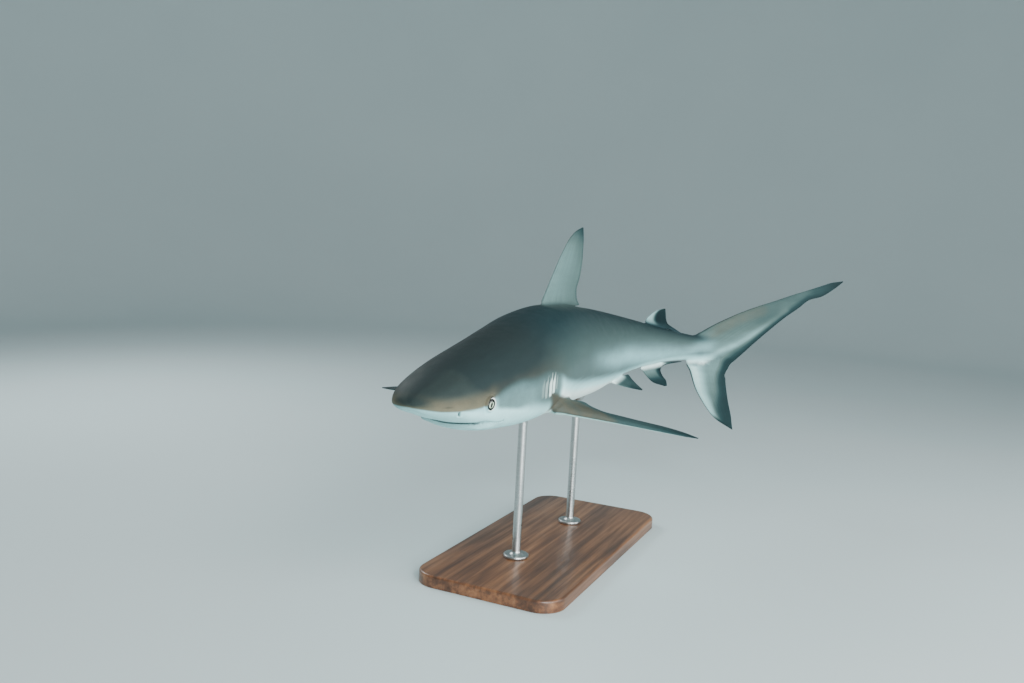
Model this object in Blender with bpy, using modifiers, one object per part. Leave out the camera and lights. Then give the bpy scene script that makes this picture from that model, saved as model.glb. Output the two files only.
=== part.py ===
"""Caribbean reef shark: a still, life-size museum model on a plain display stand.

Run with  blender --background --python part.py  or from Blender's text editor.
Metres, +Z up.  The shark faces -X and its left side faces -Y.

Places on the shark are given as shares of its total length.  A station is a place along the
body line, which bends with the swimming pose: 0 is the snout and 1 the end of the tail.  Left
and up are measured square to that line.
"""
import math

import bmesh
import bpy
import numpy as np
from mathutils import Matrix, Vector

# ---- driving dimensions -------------------------------------------------------------------
TOTAL_LENGTH = 2.0          # snout to the tip of the tail, along the bent body
GAP = 0.0003                # left between pieces that touch
FIN_EDGE = 0.0006           # half thickness of a fin's outer edge

BALANCE = 0.30              # station of the body line that is placed by BALANCE_PLACE
BALANCE_PLACE = (-0.2374, 0.0812, 0.52)

# The bend of the body line: heading turns about +Z, climb raises the tail, in radians.
LINE_STATIONS = (0.10, 0.24, 0.36, 0.50, 0.62, 0.735, 0.85, 1.0)
HEADING = (-0.100, 0.046, -0.046, -0.129, -0.368, -0.761, -1.100, -1.117)
CLIMB = (0.036, 0.054, 0.031, -0.008, -0.054, -0.059, -0.033, -0.026)

# The body's sections: station, top, bottom, half width, height of the widest line.
BODY = (
    (0.000, -0.0010, -0.0010, 0.0000, -0.001),
    (0.010, 0.0130, -0.0095, 0.0265, -0.002),
    (0.030, 0.0240, -0.0165, 0.0430, -0.004),
    (0.065, 0.0370, -0.0300, 0.0525, -0.006),
    (0.100, 0.0464, -0.0400, 0.0570, -0.006),
    (0.150, 0.0564, -0.0485, 0.0610, -0.004),
    (0.200, 0.0646, -0.0525, 0.0640, -0.001),
    (0.250, 0.0711, -0.0542, 0.0650, 0.003),
    (0.310, 0.0738, -0.0563, 0.0640, 0.004),
    (0.360, 0.0707, -0.0603, 0.0610, 0.002),
    (0.420, 0.0627, -0.0615, 0.0550, -0.001),
    (0.480, 0.0543, -0.0565, 0.0470, -0.001),
    (0.550, 0.0440, -0.0450, 0.0360, 0.000),
    (0.620, 0.0340, -0.0340, 0.0260, 0.000),
    (0.680, 0.0260, -0.0250, 0.0190, 0.000),
    (0.735, 0.0195, -0.0195, 0.0145, 0.000),
    (0.757, 0.0185, -0.0185, 0.0115, 0.000),
)
# How square the sections are below and above the widest line (2 is an ellipse).
SQUARE_STATIONS = (0.0, 0.10, 0.20, 0.50, 0.757)
SQUARE_BELOW = (2.3, 2.45, 2.3, 2.1, 2.0)
SQUARE_ABOVE = (2.0, 2.1, 2.1, 2.0, 2.0)

# Where the body is parted, and the stations of the rings of each length.
BODY_LENGTHS = {
    "head": (0.0, 0.0015, 0.005, 0.011, 0.020, 0.032, 0.047, 0.064, 0.081, 0.098, 0.116, 0.136, 0.160),
    "gill_section": (0.160, 0.185, 0.212, 0.245),
    "trunk_front": (0.245, 0.275, 0.305, 0.335, 0.365, 0.400, 0.430),
    "trunk_rear": (0.430, 0.465, 0.500, 0.535, 0.570, 0.605),
    "tail_stalk": (0.605, 0.640, 0.675, 0.705, 0.735, 0.757),
}
BODY_SIDES = 32

# The mouth: a blunt arch seen from below, and the height of its lips.
MOUTH_FRONT = 0.0605
MOUTH_CORNER = 0.1005
MOUTH_HALF_WIDTH = 0.0505
MOUTH_BLUNTNESS = 5.0
LIP_FRONT = -0.0245
LIP_CORNER = -0.0277
JAW_END = 0.116
CHIN_DROP = 0.0045
CHIN_START = 0.060
CHIN_FULL = 0.074
CHIN_FADE = 0.010           # behind the jaw's end
CUTTER_SIDE = 0.012         # how far the jaw's cutter stands out past the mouth

# The eyes: station, left, up, and half sizes along the body, across and up.
EYE_PLACE = (0.0705, 0.0512, -0.003)
EYE_HALF_SIZE = (0.0085, 0.0045, 0.0085)
EYE_TURN = 0.14             # how far the eyes look forward, in radians


def smooth(stations, values, at):
    """Read a monotone cubic curve through the points (stations, values)."""
    x = np.asarray(stations, float)
    y = np.asarray(values, float)
    step = np.diff(x)
    slope = np.diff(y) / step
    tangent = np.concatenate([slope[:1], (slope[1:] + slope[:-1]) / 2, slope[-1:]])
    for i in range(1, len(x) - 1):
        before, after = slope[i - 1], slope[i]
        if before * after <= 0.0:
            tangent[i] = 0.0
        else:
            near, far = 2 * step[i] + step[i - 1], step[i] + 2 * step[i - 1]
            tangent[i] = (near + far) / (near / before + far / after)
    i = np.clip(np.searchsorted(x, at, side="right") - 1, 0, len(step) - 1)
    t = (np.clip(at, x[0], x[-1]) - x[i]) / step[i]
    rise = t * t * (3 - 2 * t)
    return (y[i] * (1 - rise) + y[i + 1] * rise
            + step[i] * t * (1 - t) * (tangent[i] * (1 - t) - tangent[i + 1] * t))


# ---- the body line and the body's surface --------------------------------------------------
class BodyLine:
    """The bent line through the body, with its own forward, left and up at every station."""

    STEPS = 2000

    def __init__(self):
        self.stations = np.linspace(0.0, 1.0, self.STEPS + 1)
        bend = np.clip(self.stations, LINE_STATIONS[0], LINE_STATIONS[-1])
        self.heading = smooth(LINE_STATIONS, HEADING, bend)
        self.climb = smooth(LINE_STATIONS, CLIMB, bend)
        along = np.stack([np.cos(self.heading) * np.cos(self.climb),
                          np.sin(self.heading) * np.cos(self.climb),
                          np.sin(self.climb)], axis=1)
        steps = (along[1:] + along[:-1]) / 2 / self.STEPS
        self.points = np.vstack([np.zeros(3), np.cumsum(steps, axis=0)])
        self.points -= self.points[int(round(BALANCE * self.STEPS))]

    def axes(self, station):
        """The line's point and its tailward, left and up directions at a station."""
        heading = np.interp(station, self.stations, self.heading)
        climb = np.interp(station, self.stations, self.climb)
        tailward = Vector((math.cos(heading) * math.cos(climb),
                           math.sin(heading) * math.cos(climb), math.sin(climb)))
        left = Vector((math.sin(heading), -math.cos(heading), 0.0))
        up = tailward.cross(left)
        if up.z < 0.0:
            up.negate()
        point = Vector([np.interp(station, self.stations, self.points[:, k]) for k in range(3)])
        return point, tailward, left, up

    def place(self, station, left, up):
        """The world position of a place on the shark."""
        point, _, left_axis, up_axis = self.axes(station)
        return (point + left_axis * left + up_axis * up) * TOTAL_LENGTH + Vector(BALANCE_PLACE)


LINE = BodyLine()
ROWS = np.array(BODY)
TOP, BOTTOM, HALF_WIDTH, WIDEST = range(1, 5)


def body_size(column, station):
    """One column of BODY at any station, read by its square root so that the snout is round."""
    return float(smooth(np.sqrt(ROWS[:, 0]), ROWS[:, column], math.sqrt(station)))


def chin(station):
    """How far the lower jaw hangs below the head's own underside."""
    rise = smooth((CHIN_START, CHIN_FULL), (0.0, 1.0), station)
    fall = smooth((CHIN_FULL, JAW_END + CHIN_FADE), (1.0, 0.0), station)
    return CHIN_DROP * float(min(rise, fall))


def body_ring(station, grow=0.0, shift=0.0, drop=0.0):
    """One section of the body, grown outwards by metres and moved tailwards by metres."""
    grow = grow / TOTAL_LENGTH
    widest = body_size(WIDEST, station)
    half_width = body_size(HALF_WIDTH, station) + grow
    above = body_size(TOP, station) - widest + grow
    below = widest - body_size(BOTTOM, station) + grow + drop
    square = (float(smooth(SQUARE_STATIONS, SQUARE_ABOVE, station)),
              float(smooth(SQUARE_STATIONS, SQUARE_BELOW, station)))
    ring = []
    for i in range(BODY_SIDES):
        angle = 2 * math.pi * i / BODY_SIDES
        across, rise = math.cos(angle), math.sin(angle)
        power = 2 / (square[0] if rise >= 0 else square[1])
        left = half_width * math.copysign(abs(across) ** power, across)
        up = widest + (above if rise >= 0 else below) * math.copysign(abs(rise) ** power, rise)
        ring.append(LINE.place(station + shift / TOTAL_LENGTH, left, up))
    return ring


# ---- mesh and object helpers ---------------------------------------------------------------
def collection(name):
    group = bpy.data.collections.new(name)
    bpy.context.scene.collection.children.link(group)
    return group


def clear_scene():
    for thing in list(bpy.data.objects):
        bpy.data.objects.remove(thing)


def finish_mesh(name, bm):
    """Turn a closed bmesh into an object with its faces outward and smooth shading."""
    bmesh.ops.recalc_face_normals(bm, faces=bm.faces)
    if bm.calc_volume(signed=True) < 0:
        bmesh.ops.reverse_faces(bm, faces=bm.faces)
    mesh = bpy.data.meshes.new(name)
    bm.to_mesh(mesh)
    bm.free()
    mesh.shade_smooth()
    mesh.set_sharp_from_angle(angle=math.radians(40))
    return bpy.data.objects.new(name, mesh)


def loft(name, rings):
    """Skin a row of closed rings and cap both ends; a ring may be a single point."""
    bm = bmesh.new()
    rows = [[bm.verts.new(point) for point in ring] for ring in rings]
    for near, far in zip(rows, rows[1:]):
        count = max(len(near), len(far))
        for i in range(count):
            j = (i + 1) % count
            if len(near) == 1:
                bm.faces.new((near[0], far[j], far[i]))
            elif len(far) == 1:
                bm.faces.new((near[i], near[j], far[0]))
            else:
                bm.faces.new((near[i], near[j], far[j], far[i]))
    for ring in (rows[0], rows[-1]):
        if len(ring) > 1:
            bm.faces.new(ring)
    return finish_mesh(name, bm)


def add_part(thing, finish):
    """Put a piece of the model in its collection with a material of its own."""
    colour, roughness, metallic = finish
    material = bpy.data.materials.new(thing.name)
    material.use_nodes = True
    shader = material.node_tree.nodes["Principled BSDF"]
    shader.inputs["Base Color"].default_value = (*colour, 1.0)
    shader.inputs["Roughness"].default_value = roughness
    shader.inputs["Metallic"].default_value = metallic
    thing.data.materials.clear()
    thing.data.materials.append(material)
    PARTS.objects.link(thing)
    return thing


def add_cutter(thing):
    thing.hide_render = True
    thing.display_type = "WIRE"
    CUTTERS.objects.link(thing)
    return thing


def boolean(thing, cutter, operation="DIFFERENCE"):
    modifier = thing.modifiers.new(operation.title(), "BOOLEAN")
    modifier.operation = operation
    modifier.solver = "EXACT"
    modifier.object = cutter
    return thing


# ---- finishes: colour, roughness, metallic ---------------------------------------------------
HEAD_SKIN = ((0.14, 0.17, 0.16), 0.45, 0.0)
JAW_SKIN = ((0.50, 0.62, 0.56), 0.45, 0.0)
FLANK_SKIN = ((0.16, 0.24, 0.25), 0.45, 0.0)
FIN_SKIN = ((0.20, 0.30, 0.30), 0.50, 0.0)
EYE_GLOSS = ((0.03, 0.03, 0.02), 0.08, 0.0)
WALNUT = ((0.10, 0.05, 0.025), 0.40, 0.0)
STEEL = ((0.60, 0.60, 0.58), 0.30, 1.0)


# ---- body, jaw and eyes ----------------------------------------------------------------------
def body_length(name, drop=lambda station: 0.0):
    """One length of the body, half a gap short where it meets the next."""
    stations = BODY_LENGTHS[name]
    rings = []
    for station in stations:
        if station == 0.0:
            rings.append([LINE.place(0.0, 0.0, BODY[0][TOP])])
            continue
        shift = GAP / 2 if station == stations[0] else -GAP / 2 if station == stations[-1] else 0.0
        rings.append(body_ring(station, shift=shift, drop=drop(station)))
    return loft(name, rings)


def body_clearance():
    """The whole body a gap larger, which clears the roots of the fins and the rods."""
    stations = sorted({s for row in BODY_LENGTHS.values() for s in row})
    tip = LINE.place(0.0, 0.0, BODY[0][TOP])
    tip -= LINE.axes(0.0)[1] * GAP
    rings = [[tip]] + [body_ring(s, grow=GAP) for s in stations[1:-1]]
    rings.append(body_ring(stations[-1], grow=GAP, shift=GAP))
    return add_cutter(loft("body_clearance", rings))


def mouth_block(name, grow):
    """The space of the lower jaw: a blunt arch from lip height down past the chin."""
    grow = grow / TOTAL_LENGTH
    steps = 12
    outline = []
    for i in range(-steps, steps + 1):
        across = i / steps
        outline.append((MOUTH_FRONT + (MOUTH_CORNER - MOUTH_FRONT) * abs(across) ** MOUTH_BLUNTNESS - grow,
                        (MOUTH_HALF_WIDTH + grow) * across))
    side = MOUTH_HALF_WIDTH + CUTTER_SIDE
    outline += [(MOUTH_CORNER - grow, side), (JAW_END + grow, side),
                (JAW_END + grow, -side), (MOUTH_CORNER - grow, -side)]
    slope = (LIP_CORNER - LIP_FRONT) / (MOUTH_CORNER - MOUTH_FRONT)
    top = [LINE.place(station, left, LIP_FRONT + slope * (station - MOUTH_FRONT) + grow)
           for station, left in outline]
    floor = [LINE.place(station, left, 3 * LIP_CORNER) for station, left in outline]
    return add_cutter(loft(name, [floor, top]))


def ellipsoid(name, side, grow):
    """An eye, or with grow the socket that it sits in."""
    station, left, up = EYE_PLACE
    _, tailward, left_axis, up_axis = LINE.axes(station)
    bm = bmesh.new()
    bmesh.ops.create_uvsphere(bm, u_segments=16, v_segments=10, radius=1.0)
    half = [size * TOTAL_LENGTH + grow for size in EYE_HALF_SIZE]
    outward = left_axis * side
    gaze = outward * math.cos(EYE_TURN) - tailward * math.sin(EYE_TURN)
    along = tailward * math.cos(EYE_TURN) + outward * math.sin(EYE_TURN)
    frame = Matrix((along * half[0], up_axis * half[2], gaze * half[1])).transposed()
    place = Matrix.Translation(LINE.place(station, side * left, up)) @ frame.to_4x4()
    bmesh.ops.transform(bm, matrix=place, verts=bm.verts)
    return finish_mesh(name, bm)


def make_body():
    for name in BODY_LENGTHS:
        add_part(body_length(name), HEAD_SKIN if name == "head" else FLANK_SKIN)
    head = PARTS.objects["head"]
    jaw = body_length("head", chin)
    jaw.name = "lower_jaw"
    add_part(boolean(jaw, mouth_block("jaw_space", 0.0), "INTERSECT"), JAW_SKIN)
    boolean(head, mouth_block("jaw_clearance", GAP))
    for side, word in ((1, "left"), (-1, "right")):
        add_part(ellipsoid("eye_" + word, side, 0.0), EYE_GLOSS)
        boolean(head, add_cutter(ellipsoid("eye_socket_" + word, side, GAP)))


# ---- fins ------------------------------------------------------------------------------------
FIRST_DORSAL_ORIGIN = 0.303
SECOND_DORSAL_ORIGIN = 0.622
ANAL_ORIGIN = 0.624
PECTORAL_ROOT = (0.2105, 0.0558, -0.0356)
PELVIC_ROOT = (0.4815, 0.0311, -0.0470)
# Each fin is a row of cuts from inside the body to its tip.  A cut runs from the leading to the
# trailing edge: lead (x, z), trail (x, z), half thickness; x is tailward and z away from the body.
FIRST_DORSAL = (
    (-0.016, -0.012, 0.1000, -0.012, 0.0080),
    (-0.006, 0.0000, 0.1020, 0.0000, 0.0068),
    (-0.002, 0.0035, 0.1165, 0.0035, 0.0060),
    (0.0050, 0.0105, 0.1085, 0.0105, 0.0052),
    (0.0170, 0.0232, 0.1056, 0.0232, 0.0044),
    (0.0345, 0.0433, 0.1143, 0.0433, 0.0036),
    (0.0559, 0.0676, 0.1195, 0.0676, 0.0028),
    (0.0787, 0.0903, 0.1197, 0.0903, 0.0020),
    (0.0960, 0.1020, 0.1185, 0.1020, 0.0014),
    (0.1145, 0.1100, 0.1168, 0.1100, 0.0006),
)
SECOND_DORSAL = (
    (-0.006, -0.010, 0.0450, -0.010, 0.0050),
    (-0.004, 0.0000, 0.0470, 0.0000, 0.0040),
    (-0.002, 0.0025, 0.0800, 0.0018, 0.0030),
    (0.0030, 0.0095, 0.0510, 0.0095, 0.0026),
    (0.0125, 0.0180, 0.0465, 0.0180, 0.0020),
    (0.0255, 0.0260, 0.0445, 0.0260, 0.0014),
    (0.0405, 0.0315, 0.0430, 0.0315, 0.0006),
)
ANAL = (
    (-0.004, -0.010, 0.0400, -0.010, 0.0050),
    (-0.004, 0.0000, 0.0430, 0.0000, 0.0040),
    (-0.003, 0.0030, 0.0900, 0.0030, 0.0028),
    (0.0010, 0.0065, 0.0530, 0.0065, 0.0026),
    (0.0080, 0.0130, 0.0455, 0.0130, 0.0022),
    (0.0205, 0.0240, 0.0520, 0.0240, 0.0018),
    (0.0340, 0.0330, 0.0610, 0.0330, 0.0013),
    (0.0580, 0.0415, 0.0640, 0.0415, 0.0006),
)
PECTORAL = (
    (0.0040, -0.030, 0.0560, -0.030, 0.0110),
    (0.0000, 0.0000, 0.0620, 0.0000, 0.0095),
    (0.0070, 0.0100, 0.0775, 0.0100, 0.0080),
    (0.0165, 0.0220, 0.0720, 0.0220, 0.0068),
    (0.0300, 0.0375, 0.0705, 0.0375, 0.0055),
    (0.0500, 0.0630, 0.0850, 0.0630, 0.0042),
    (0.0700, 0.0885, 0.1010, 0.0885, 0.0032),
    (0.0900, 0.1140, 0.1165, 0.1140, 0.0024),
    (0.1090, 0.1365, 0.1235, 0.1365, 0.0015),
    (0.1225, 0.1500, 0.1238, 0.1500, 0.0006),
)
PELVIC = (
    (0.0020, -0.015, 0.0400, -0.015, 0.0040),
    (0.0000, 0.0000, 0.0450, 0.0000, 0.0035),
    (0.0030, 0.0040, 0.0680, 0.0040, 0.0028),
    (0.0130, 0.0120, 0.0600, 0.0120, 0.0022),
    (0.0260, 0.0200, 0.0545, 0.0200, 0.0016),
    (0.0455, 0.0310, 0.0495, 0.0310, 0.0006),
)
CAUDAL_UPPER = (
    (0.7330, -0.0100, 0.7980, -0.0375, 0.0050),
    (0.7285, 0.0165, 0.8016, -0.0256, 0.0095),
    (0.7450, 0.0275, 0.8110, -0.0150, 0.0085),
    (0.7647, 0.0399, 0.8200, -0.0055, 0.0070),
    (0.8170, 0.0677, 0.8491, 0.0258, 0.0045),
    (0.8684, 0.0895, 0.8870, 0.0631, 0.0030),
    (0.8950, 0.1010, 0.9060, 0.0790, 0.0022),
    (0.9181, 0.1101, 0.9240, 0.0949, 0.0017),
    (0.9400, 0.1190, 0.9425, 0.1015, 0.0014),
    (0.9577, 0.1262, 0.9630, 0.1163, 0.0010),
    (0.9758, 0.1302, 0.9765, 0.1290, 0.0006),
)
CAUDAL_LOWER = (
    (0.7330, -0.0102, 0.7978, -0.0377, 0.0050),
    (0.7215, -0.0240, 0.7976, -0.0440, 0.0065),
    (0.7311, -0.0394, 0.7984, -0.0525, 0.0055),
    (0.7447, -0.0664, 0.8062, -0.0839, 0.0040),
    (0.7728, -0.1021, 0.8150, -0.1110, 0.0026),
    (0.7881, -0.1168, 0.8171, -0.1210, 0.0017),
    (0.8194, -0.1340, 0.8200, -0.1335, 0.0006),
)


def fin_solid(name, cuts, place, cuts_per_row=2, chord_steps=7):
    """A thin blade with a rounded section, through the cuts; place(x, z, side) gives the point."""
    cuts = np.array(cuts)
    count = (len(cuts) - 1) * cuts_per_row + 1
    places = np.linspace(0, len(cuts) - 1, count)
    columns = [smooth(np.arange(len(cuts)), cuts[:, k], places) for k in range(5)]
    edge = FIN_EDGE / TOTAL_LENGTH
    rings = []
    for lead_x, lead_z, trail_x, trail_z, half in zip(*columns):
        sides = ([], [])
        for i in range(chord_steps + 1):
            share = (1 - math.cos(math.pi * i / chord_steps)) / 2
            x = lead_x + (trail_x - lead_x) * share
            z = lead_z + (trail_z - lead_z) * share
            bulge = edge + (half - edge) * 2.6 * math.sqrt(share) * (1 - share)
            sides[0].append(place(x, z, bulge))
            sides[1].append(place(x, z, -bulge))
        rings.append(sides[0] + sides[1][::-1])
    return loft(name, rings)


def on_back(origin, base=1.0, curl=0.0, sag=0.0):
    """Places for a fin on the midline of the back, above the body's own top.

    Behind its base a free rear tip can curl to the left and sag."""
    def place(x, z, side):
        free = max(0.0, x - base) ** 2
        return LINE.place(origin + x, side + curl * free, body_size(TOP, origin + x) + z - sag * free)
    return place


def under_belly(origin):
    return lambda x, z, side: LINE.place(origin + x, side, body_size(BOTTOM, origin + x) - z)


def behind_stalk(x, z, side):
    return LINE.place(x, side, z)


def paired(root_place, side, droop, pitch, swing, size=1.0):
    """Places for a flat fin that stands out from one side of the body.

    droop lowers the tip, pitch lowers the trailing edge and swing turns the tip forward."""
    station, left, up = root_place
    _, tailward, left_axis, up_axis = LINE.axes(station + 0.02)
    out = left_axis * side * math.cos(droop) - up_axis * math.sin(droop)
    rise = left_axis * side * math.sin(droop) + up_axis * math.cos(droop)
    chord = tailward * math.cos(pitch) - rise * math.sin(pitch)
    normal = tailward * math.sin(pitch) + rise * math.cos(pitch)
    along = (chord * math.cos(swing) + out * math.sin(swing)) * size
    across = (out * math.cos(swing) - chord * math.sin(swing)) * size
    root = LINE.place(station, side * left, up)
    return lambda x, z, bulge: root + (along * x + across * z + normal * bulge) * TOTAL_LENGTH


def make_fins():
    left_pectoral = paired(PECTORAL_ROOT, 1, droop=0.256, pitch=0.03, swing=0.05)
    right_pectoral = paired(PECTORAL_ROOT, -1, droop=0.145, pitch=-0.03, swing=0.236)
    pelvic = {side: paired(PELVIC_ROOT, side, droop=0.52, pitch=0.06, swing=-0.22, size=1.20)
              for side in (1, -1)}
    fins = [
        fin_solid("first_dorsal_fin", FIRST_DORSAL, on_back(FIRST_DORSAL_ORIGIN)),
        fin_solid("second_dorsal_fin", SECOND_DORSAL,
                  on_back(SECOND_DORSAL_ORIGIN, base=0.045, curl=9.0, sag=4.0), chord_steps=6),
        fin_solid("anal_fin", ANAL, under_belly(ANAL_ORIGIN), chord_steps=6),
        fin_solid("pectoral_fin_left", PECTORAL, left_pectoral),
        fin_solid("pectoral_fin_right", PECTORAL, right_pectoral),
        fin_solid("pelvic_fin_left", PELVIC, pelvic[1], chord_steps=6),
        fin_solid("pelvic_fin_right", PELVIC, pelvic[-1], chord_steps=6),
        fin_solid("caudal_fin_upper", CAUDAL_UPPER, behind_stalk),
        fin_solid("caudal_fin_lower", CAUDAL_LOWER, behind_stalk),
    ]
    clearance = body_clearance()
    for fin in fins:
        add_part(boolean(fin, clearance), FIN_SKIN)
    return clearance


# ---- display stand -----------------------------------------------------------------------------
BASE_SIZE = (0.80, 0.38, 0.030)
BASE_PLACE = (-0.150, 0.063)
BASE_CORNER = 0.06
BASE_EDGE = 0.006
ROD_RADIUS = 0.011
FOOT_RADIUS = 0.032
FOOT_HEIGHT = 0.008
PAD_RADIUS = 0.022
PAD_HEIGHT = 0.012
ROD_STATIONS = {"stand_rod_front": 0.255, "stand_rod_rear": 0.430}


def make_base():
    bm = bmesh.new()
    bmesh.ops.create_cube(bm, size=1.0)
    bmesh.ops.scale(bm, vec=BASE_SIZE, verts=bm.verts)
    upright = [e for e in bm.edges if abs(e.verts[0].co.z - e.verts[1].co.z) > BASE_SIZE[2] / 2]
    bmesh.ops.bevel(bm, geom=upright, offset=BASE_CORNER, segments=8, affect="EDGES", profile=0.5)
    rim = [e for e in bm.edges if min(v.co.z for v in e.verts) > BASE_SIZE[2] / 2 - 1e-6]
    bmesh.ops.bevel(bm, geom=rim, offset=BASE_EDGE, segments=3, affect="EDGES", profile=0.5)
    base = finish_mesh("stand_base", bm)
    base.location = (BASE_PLACE[0], BASE_PLACE[1], BASE_SIZE[2] / 2)
    return add_part(base, WALNUT)


def make_rod(name, clearance):
    """A turned rod with a foot on the base and a pad that the belly rests in."""
    point = LINE.place(ROD_STATIONS[name], 0.0, body_size(BOTTOM, ROD_STATIONS[name]))
    top = point.z + 0.02
    pad = point.z - PAD_HEIGHT
    floor = BASE_SIZE[2] + GAP
    profile = ((0.0, top), (PAD_RADIUS, top), (PAD_RADIUS, pad + 0.006), (PAD_RADIUS - 0.004, pad),
               (ROD_RADIUS, pad - 0.012), (ROD_RADIUS, floor + FOOT_HEIGHT + 0.006),
               (ROD_RADIUS + 0.006, floor + FOOT_HEIGHT), (FOOT_RADIUS - 0.002, floor + FOOT_HEIGHT),
               (FOOT_RADIUS, floor + FOOT_HEIGHT - 0.002), (FOOT_RADIUS, floor), (0.0, floor))
    mesh = bpy.data.meshes.new(name)
    mesh.from_pydata([(r, 0.0, z) for r, z in profile], [(i, i + 1) for i in range(len(profile) - 1)], [])
    rod = bpy.data.objects.new(name, mesh)
    rod.location = (point.x, point.y, 0.0)
    screw = rod.modifiers.new("Turn", "SCREW")
    screw.steps = screw.render_steps = 18
    screw.use_merge_vertices = True
    screw.merge_threshold = 0.0001
    boolean(rod, clearance)
    return add_part(rod, STEEL)


clear_scene()
PARTS = collection("reef_shark_model")
CUTTERS = collection("cutters")
make_body()
belly = make_fins()
make_base()
for rod_name in ROD_STATIONS:
    make_rod(rod_name, belly)
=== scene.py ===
"""Caribbean reef shark: the museum model's skin, eyes and stand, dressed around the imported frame.

Metres, +Z up.  The shark faces -X and its left side faces -Y.  Places on the shark are shares of
its total length: a station along the bent body line, then left and up square to that line.
"""
import math

import bmesh
import bpy
import numpy as np
from mathutils import Matrix, Vector
from mathutils.kdtree import KDTree


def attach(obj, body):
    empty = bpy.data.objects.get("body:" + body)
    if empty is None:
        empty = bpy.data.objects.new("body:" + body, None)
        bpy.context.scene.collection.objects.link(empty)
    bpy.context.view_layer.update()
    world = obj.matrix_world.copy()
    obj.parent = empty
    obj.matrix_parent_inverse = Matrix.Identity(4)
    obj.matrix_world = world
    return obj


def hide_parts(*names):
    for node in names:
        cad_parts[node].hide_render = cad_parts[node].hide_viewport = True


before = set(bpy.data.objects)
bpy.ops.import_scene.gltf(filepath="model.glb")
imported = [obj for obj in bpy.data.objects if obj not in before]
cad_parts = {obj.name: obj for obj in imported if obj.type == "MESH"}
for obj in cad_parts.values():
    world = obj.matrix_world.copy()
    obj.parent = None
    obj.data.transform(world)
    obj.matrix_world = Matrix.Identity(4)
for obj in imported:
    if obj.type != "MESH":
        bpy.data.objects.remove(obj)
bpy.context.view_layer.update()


def shares(*rows):
    """A table in ten-thousandths, as shares: 100 is 0.01."""
    return np.array(rows) / 10000


# ---- the solids' own dimensions ----
TOTAL_LENGTH = 2.0
BALANCE = 0.3
BALANCE_PLACE = np.array((-0.2374, 0.0812, 0.52))
LINE_STATIONS = (0.1, 0.24, 0.36, 0.5, 0.62, 0.735, 0.85, 1.0)
HEADING = (-0.1, 0.046, -0.046, -0.129, -0.368, -0.761, -1.1, -1.117)
CLIMB = (0.036, 0.054, 0.031, -0.008, -0.054, -0.059, -0.033, -0.026)
# The body's sections: station, top, bottom, half width, height of the widest line.  Behind
# station 0.757 the stalk runs on inside the tail fin.
BODY = shares(
    (0, -10, -10, 0, -10), (100, 130, -95, 265, -20), (300, 240, -165, 430, -40),
    (650, 370, -300, 525, -60), (1000, 464, -400, 570, -60), (1500, 564, -485, 610, -40),
    (2000, 646, -525, 640, -10), (2500, 711, -542, 650, 30), (3100, 738, -563, 640, 40),
    (3600, 707, -603, 610, 20), (4200, 627, -615, 550, -10), (4800, 543, -565, 470, -10),
    (5500, 440, -450, 360, 0), (6200, 340, -340, 260, 0), (6800, 260, -250, 190, 0),
    (7350, 195, -195, 145, 0), (7570, 188, -180, 118, 0), (7800, 200, -140, 85, 30),
    (8050, 225, -40, 50, 90), (8200, 190, 60, 20, 120))
TOP, BOTTOM, HALF_WIDTH, WIDEST = range(1, 5)
SQUARE_STATIONS = (0.0, 0.1, 0.2, 0.5, 0.757)
SQUARE_BELOW = (2.3, 2.45, 2.3, 2.1, 2.0)
SQUARE_ABOVE = (2.0, 2.1, 2.1, 2.0, 2.0)
MOUTH_FRONT = 0.0605
MOUTH_CORNER = 0.1005
MOUTH_HALF_WIDTH = 0.0505
MOUTH_BLUNTNESS = 5.0
JAW_END = 0.116
CHIN_DROP = 0.0045
CHIN_START = 0.06
CHIN_FULL = 0.074
CHIN_FADE = 0.01
EYE_PLACE = (0.0705, 0.0512, -0.003)
EYE_HALF_SIZE = (0.0085, 0.0045, 0.0085)
EYE_TURN = 0.14
FIN_EDGE = 0.0006

SIDES = ((1, "left"), (-1, "right"))
MM = 0.001


# ---- curves and windows ----
def smooth(stations, values, at):
    """Read a monotone cubic curve through the points (stations, values)."""
    x, y, at = (np.asarray(v, float) for v in (stations, values, at))
    step = np.diff(x)
    slope = np.diff(y) / step
    tangent = np.concatenate([slope[:1], (slope[1:] + slope[:-1]) / 2, slope[-1:]])
    for i in range(1, len(x) - 1):
        before, after = slope[i - 1], slope[i]
        if before * after <= 0.0:
            tangent[i] = 0.0
        else:
            near, far = 2 * step[i] + step[i - 1], step[i] + 2 * step[i - 1]
            tangent[i] = (near + far) / (near / before + far / after)
    i = np.clip(np.searchsorted(x, at, side="right") - 1, 0, len(step) - 1)
    t = (np.clip(at, x[0], x[-1]) - x[i]) / step[i]
    rise = t * t * (3 - 2 * t)
    return (y[i] * (1 - rise) + y[i + 1] * rise
            + step[i] * t * (1 - t) * (tangent[i] * (1 - t) - tangent[i + 1] * t))


def read(table, at):
    """The other columns of a table, read by its first one."""
    return [smooth(table[:, 0], column, at) for column in table.T[1:]]


def ease(low, high, value):
    """0 below low, 1 above high and a smooth step between; high may be the lower number."""
    t = np.clip((np.asarray(value, float) - low) / (high - low), 0.0, 1.0)
    return t * t * (3 - 2 * t)


def window(start, full, fall, end, value):
    """0 outside start to end, 1 from full to fall and smooth steps between."""
    return ease(start, full, value) * ease(end, fall, value)


def hump(value, width):
    """1 at 0, falling off evenly to both sides."""
    return np.exp(-(np.asarray(value, float) / width) ** 2)


def blend(share, low, high):
    return low * (1 - share) + high * share


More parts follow.
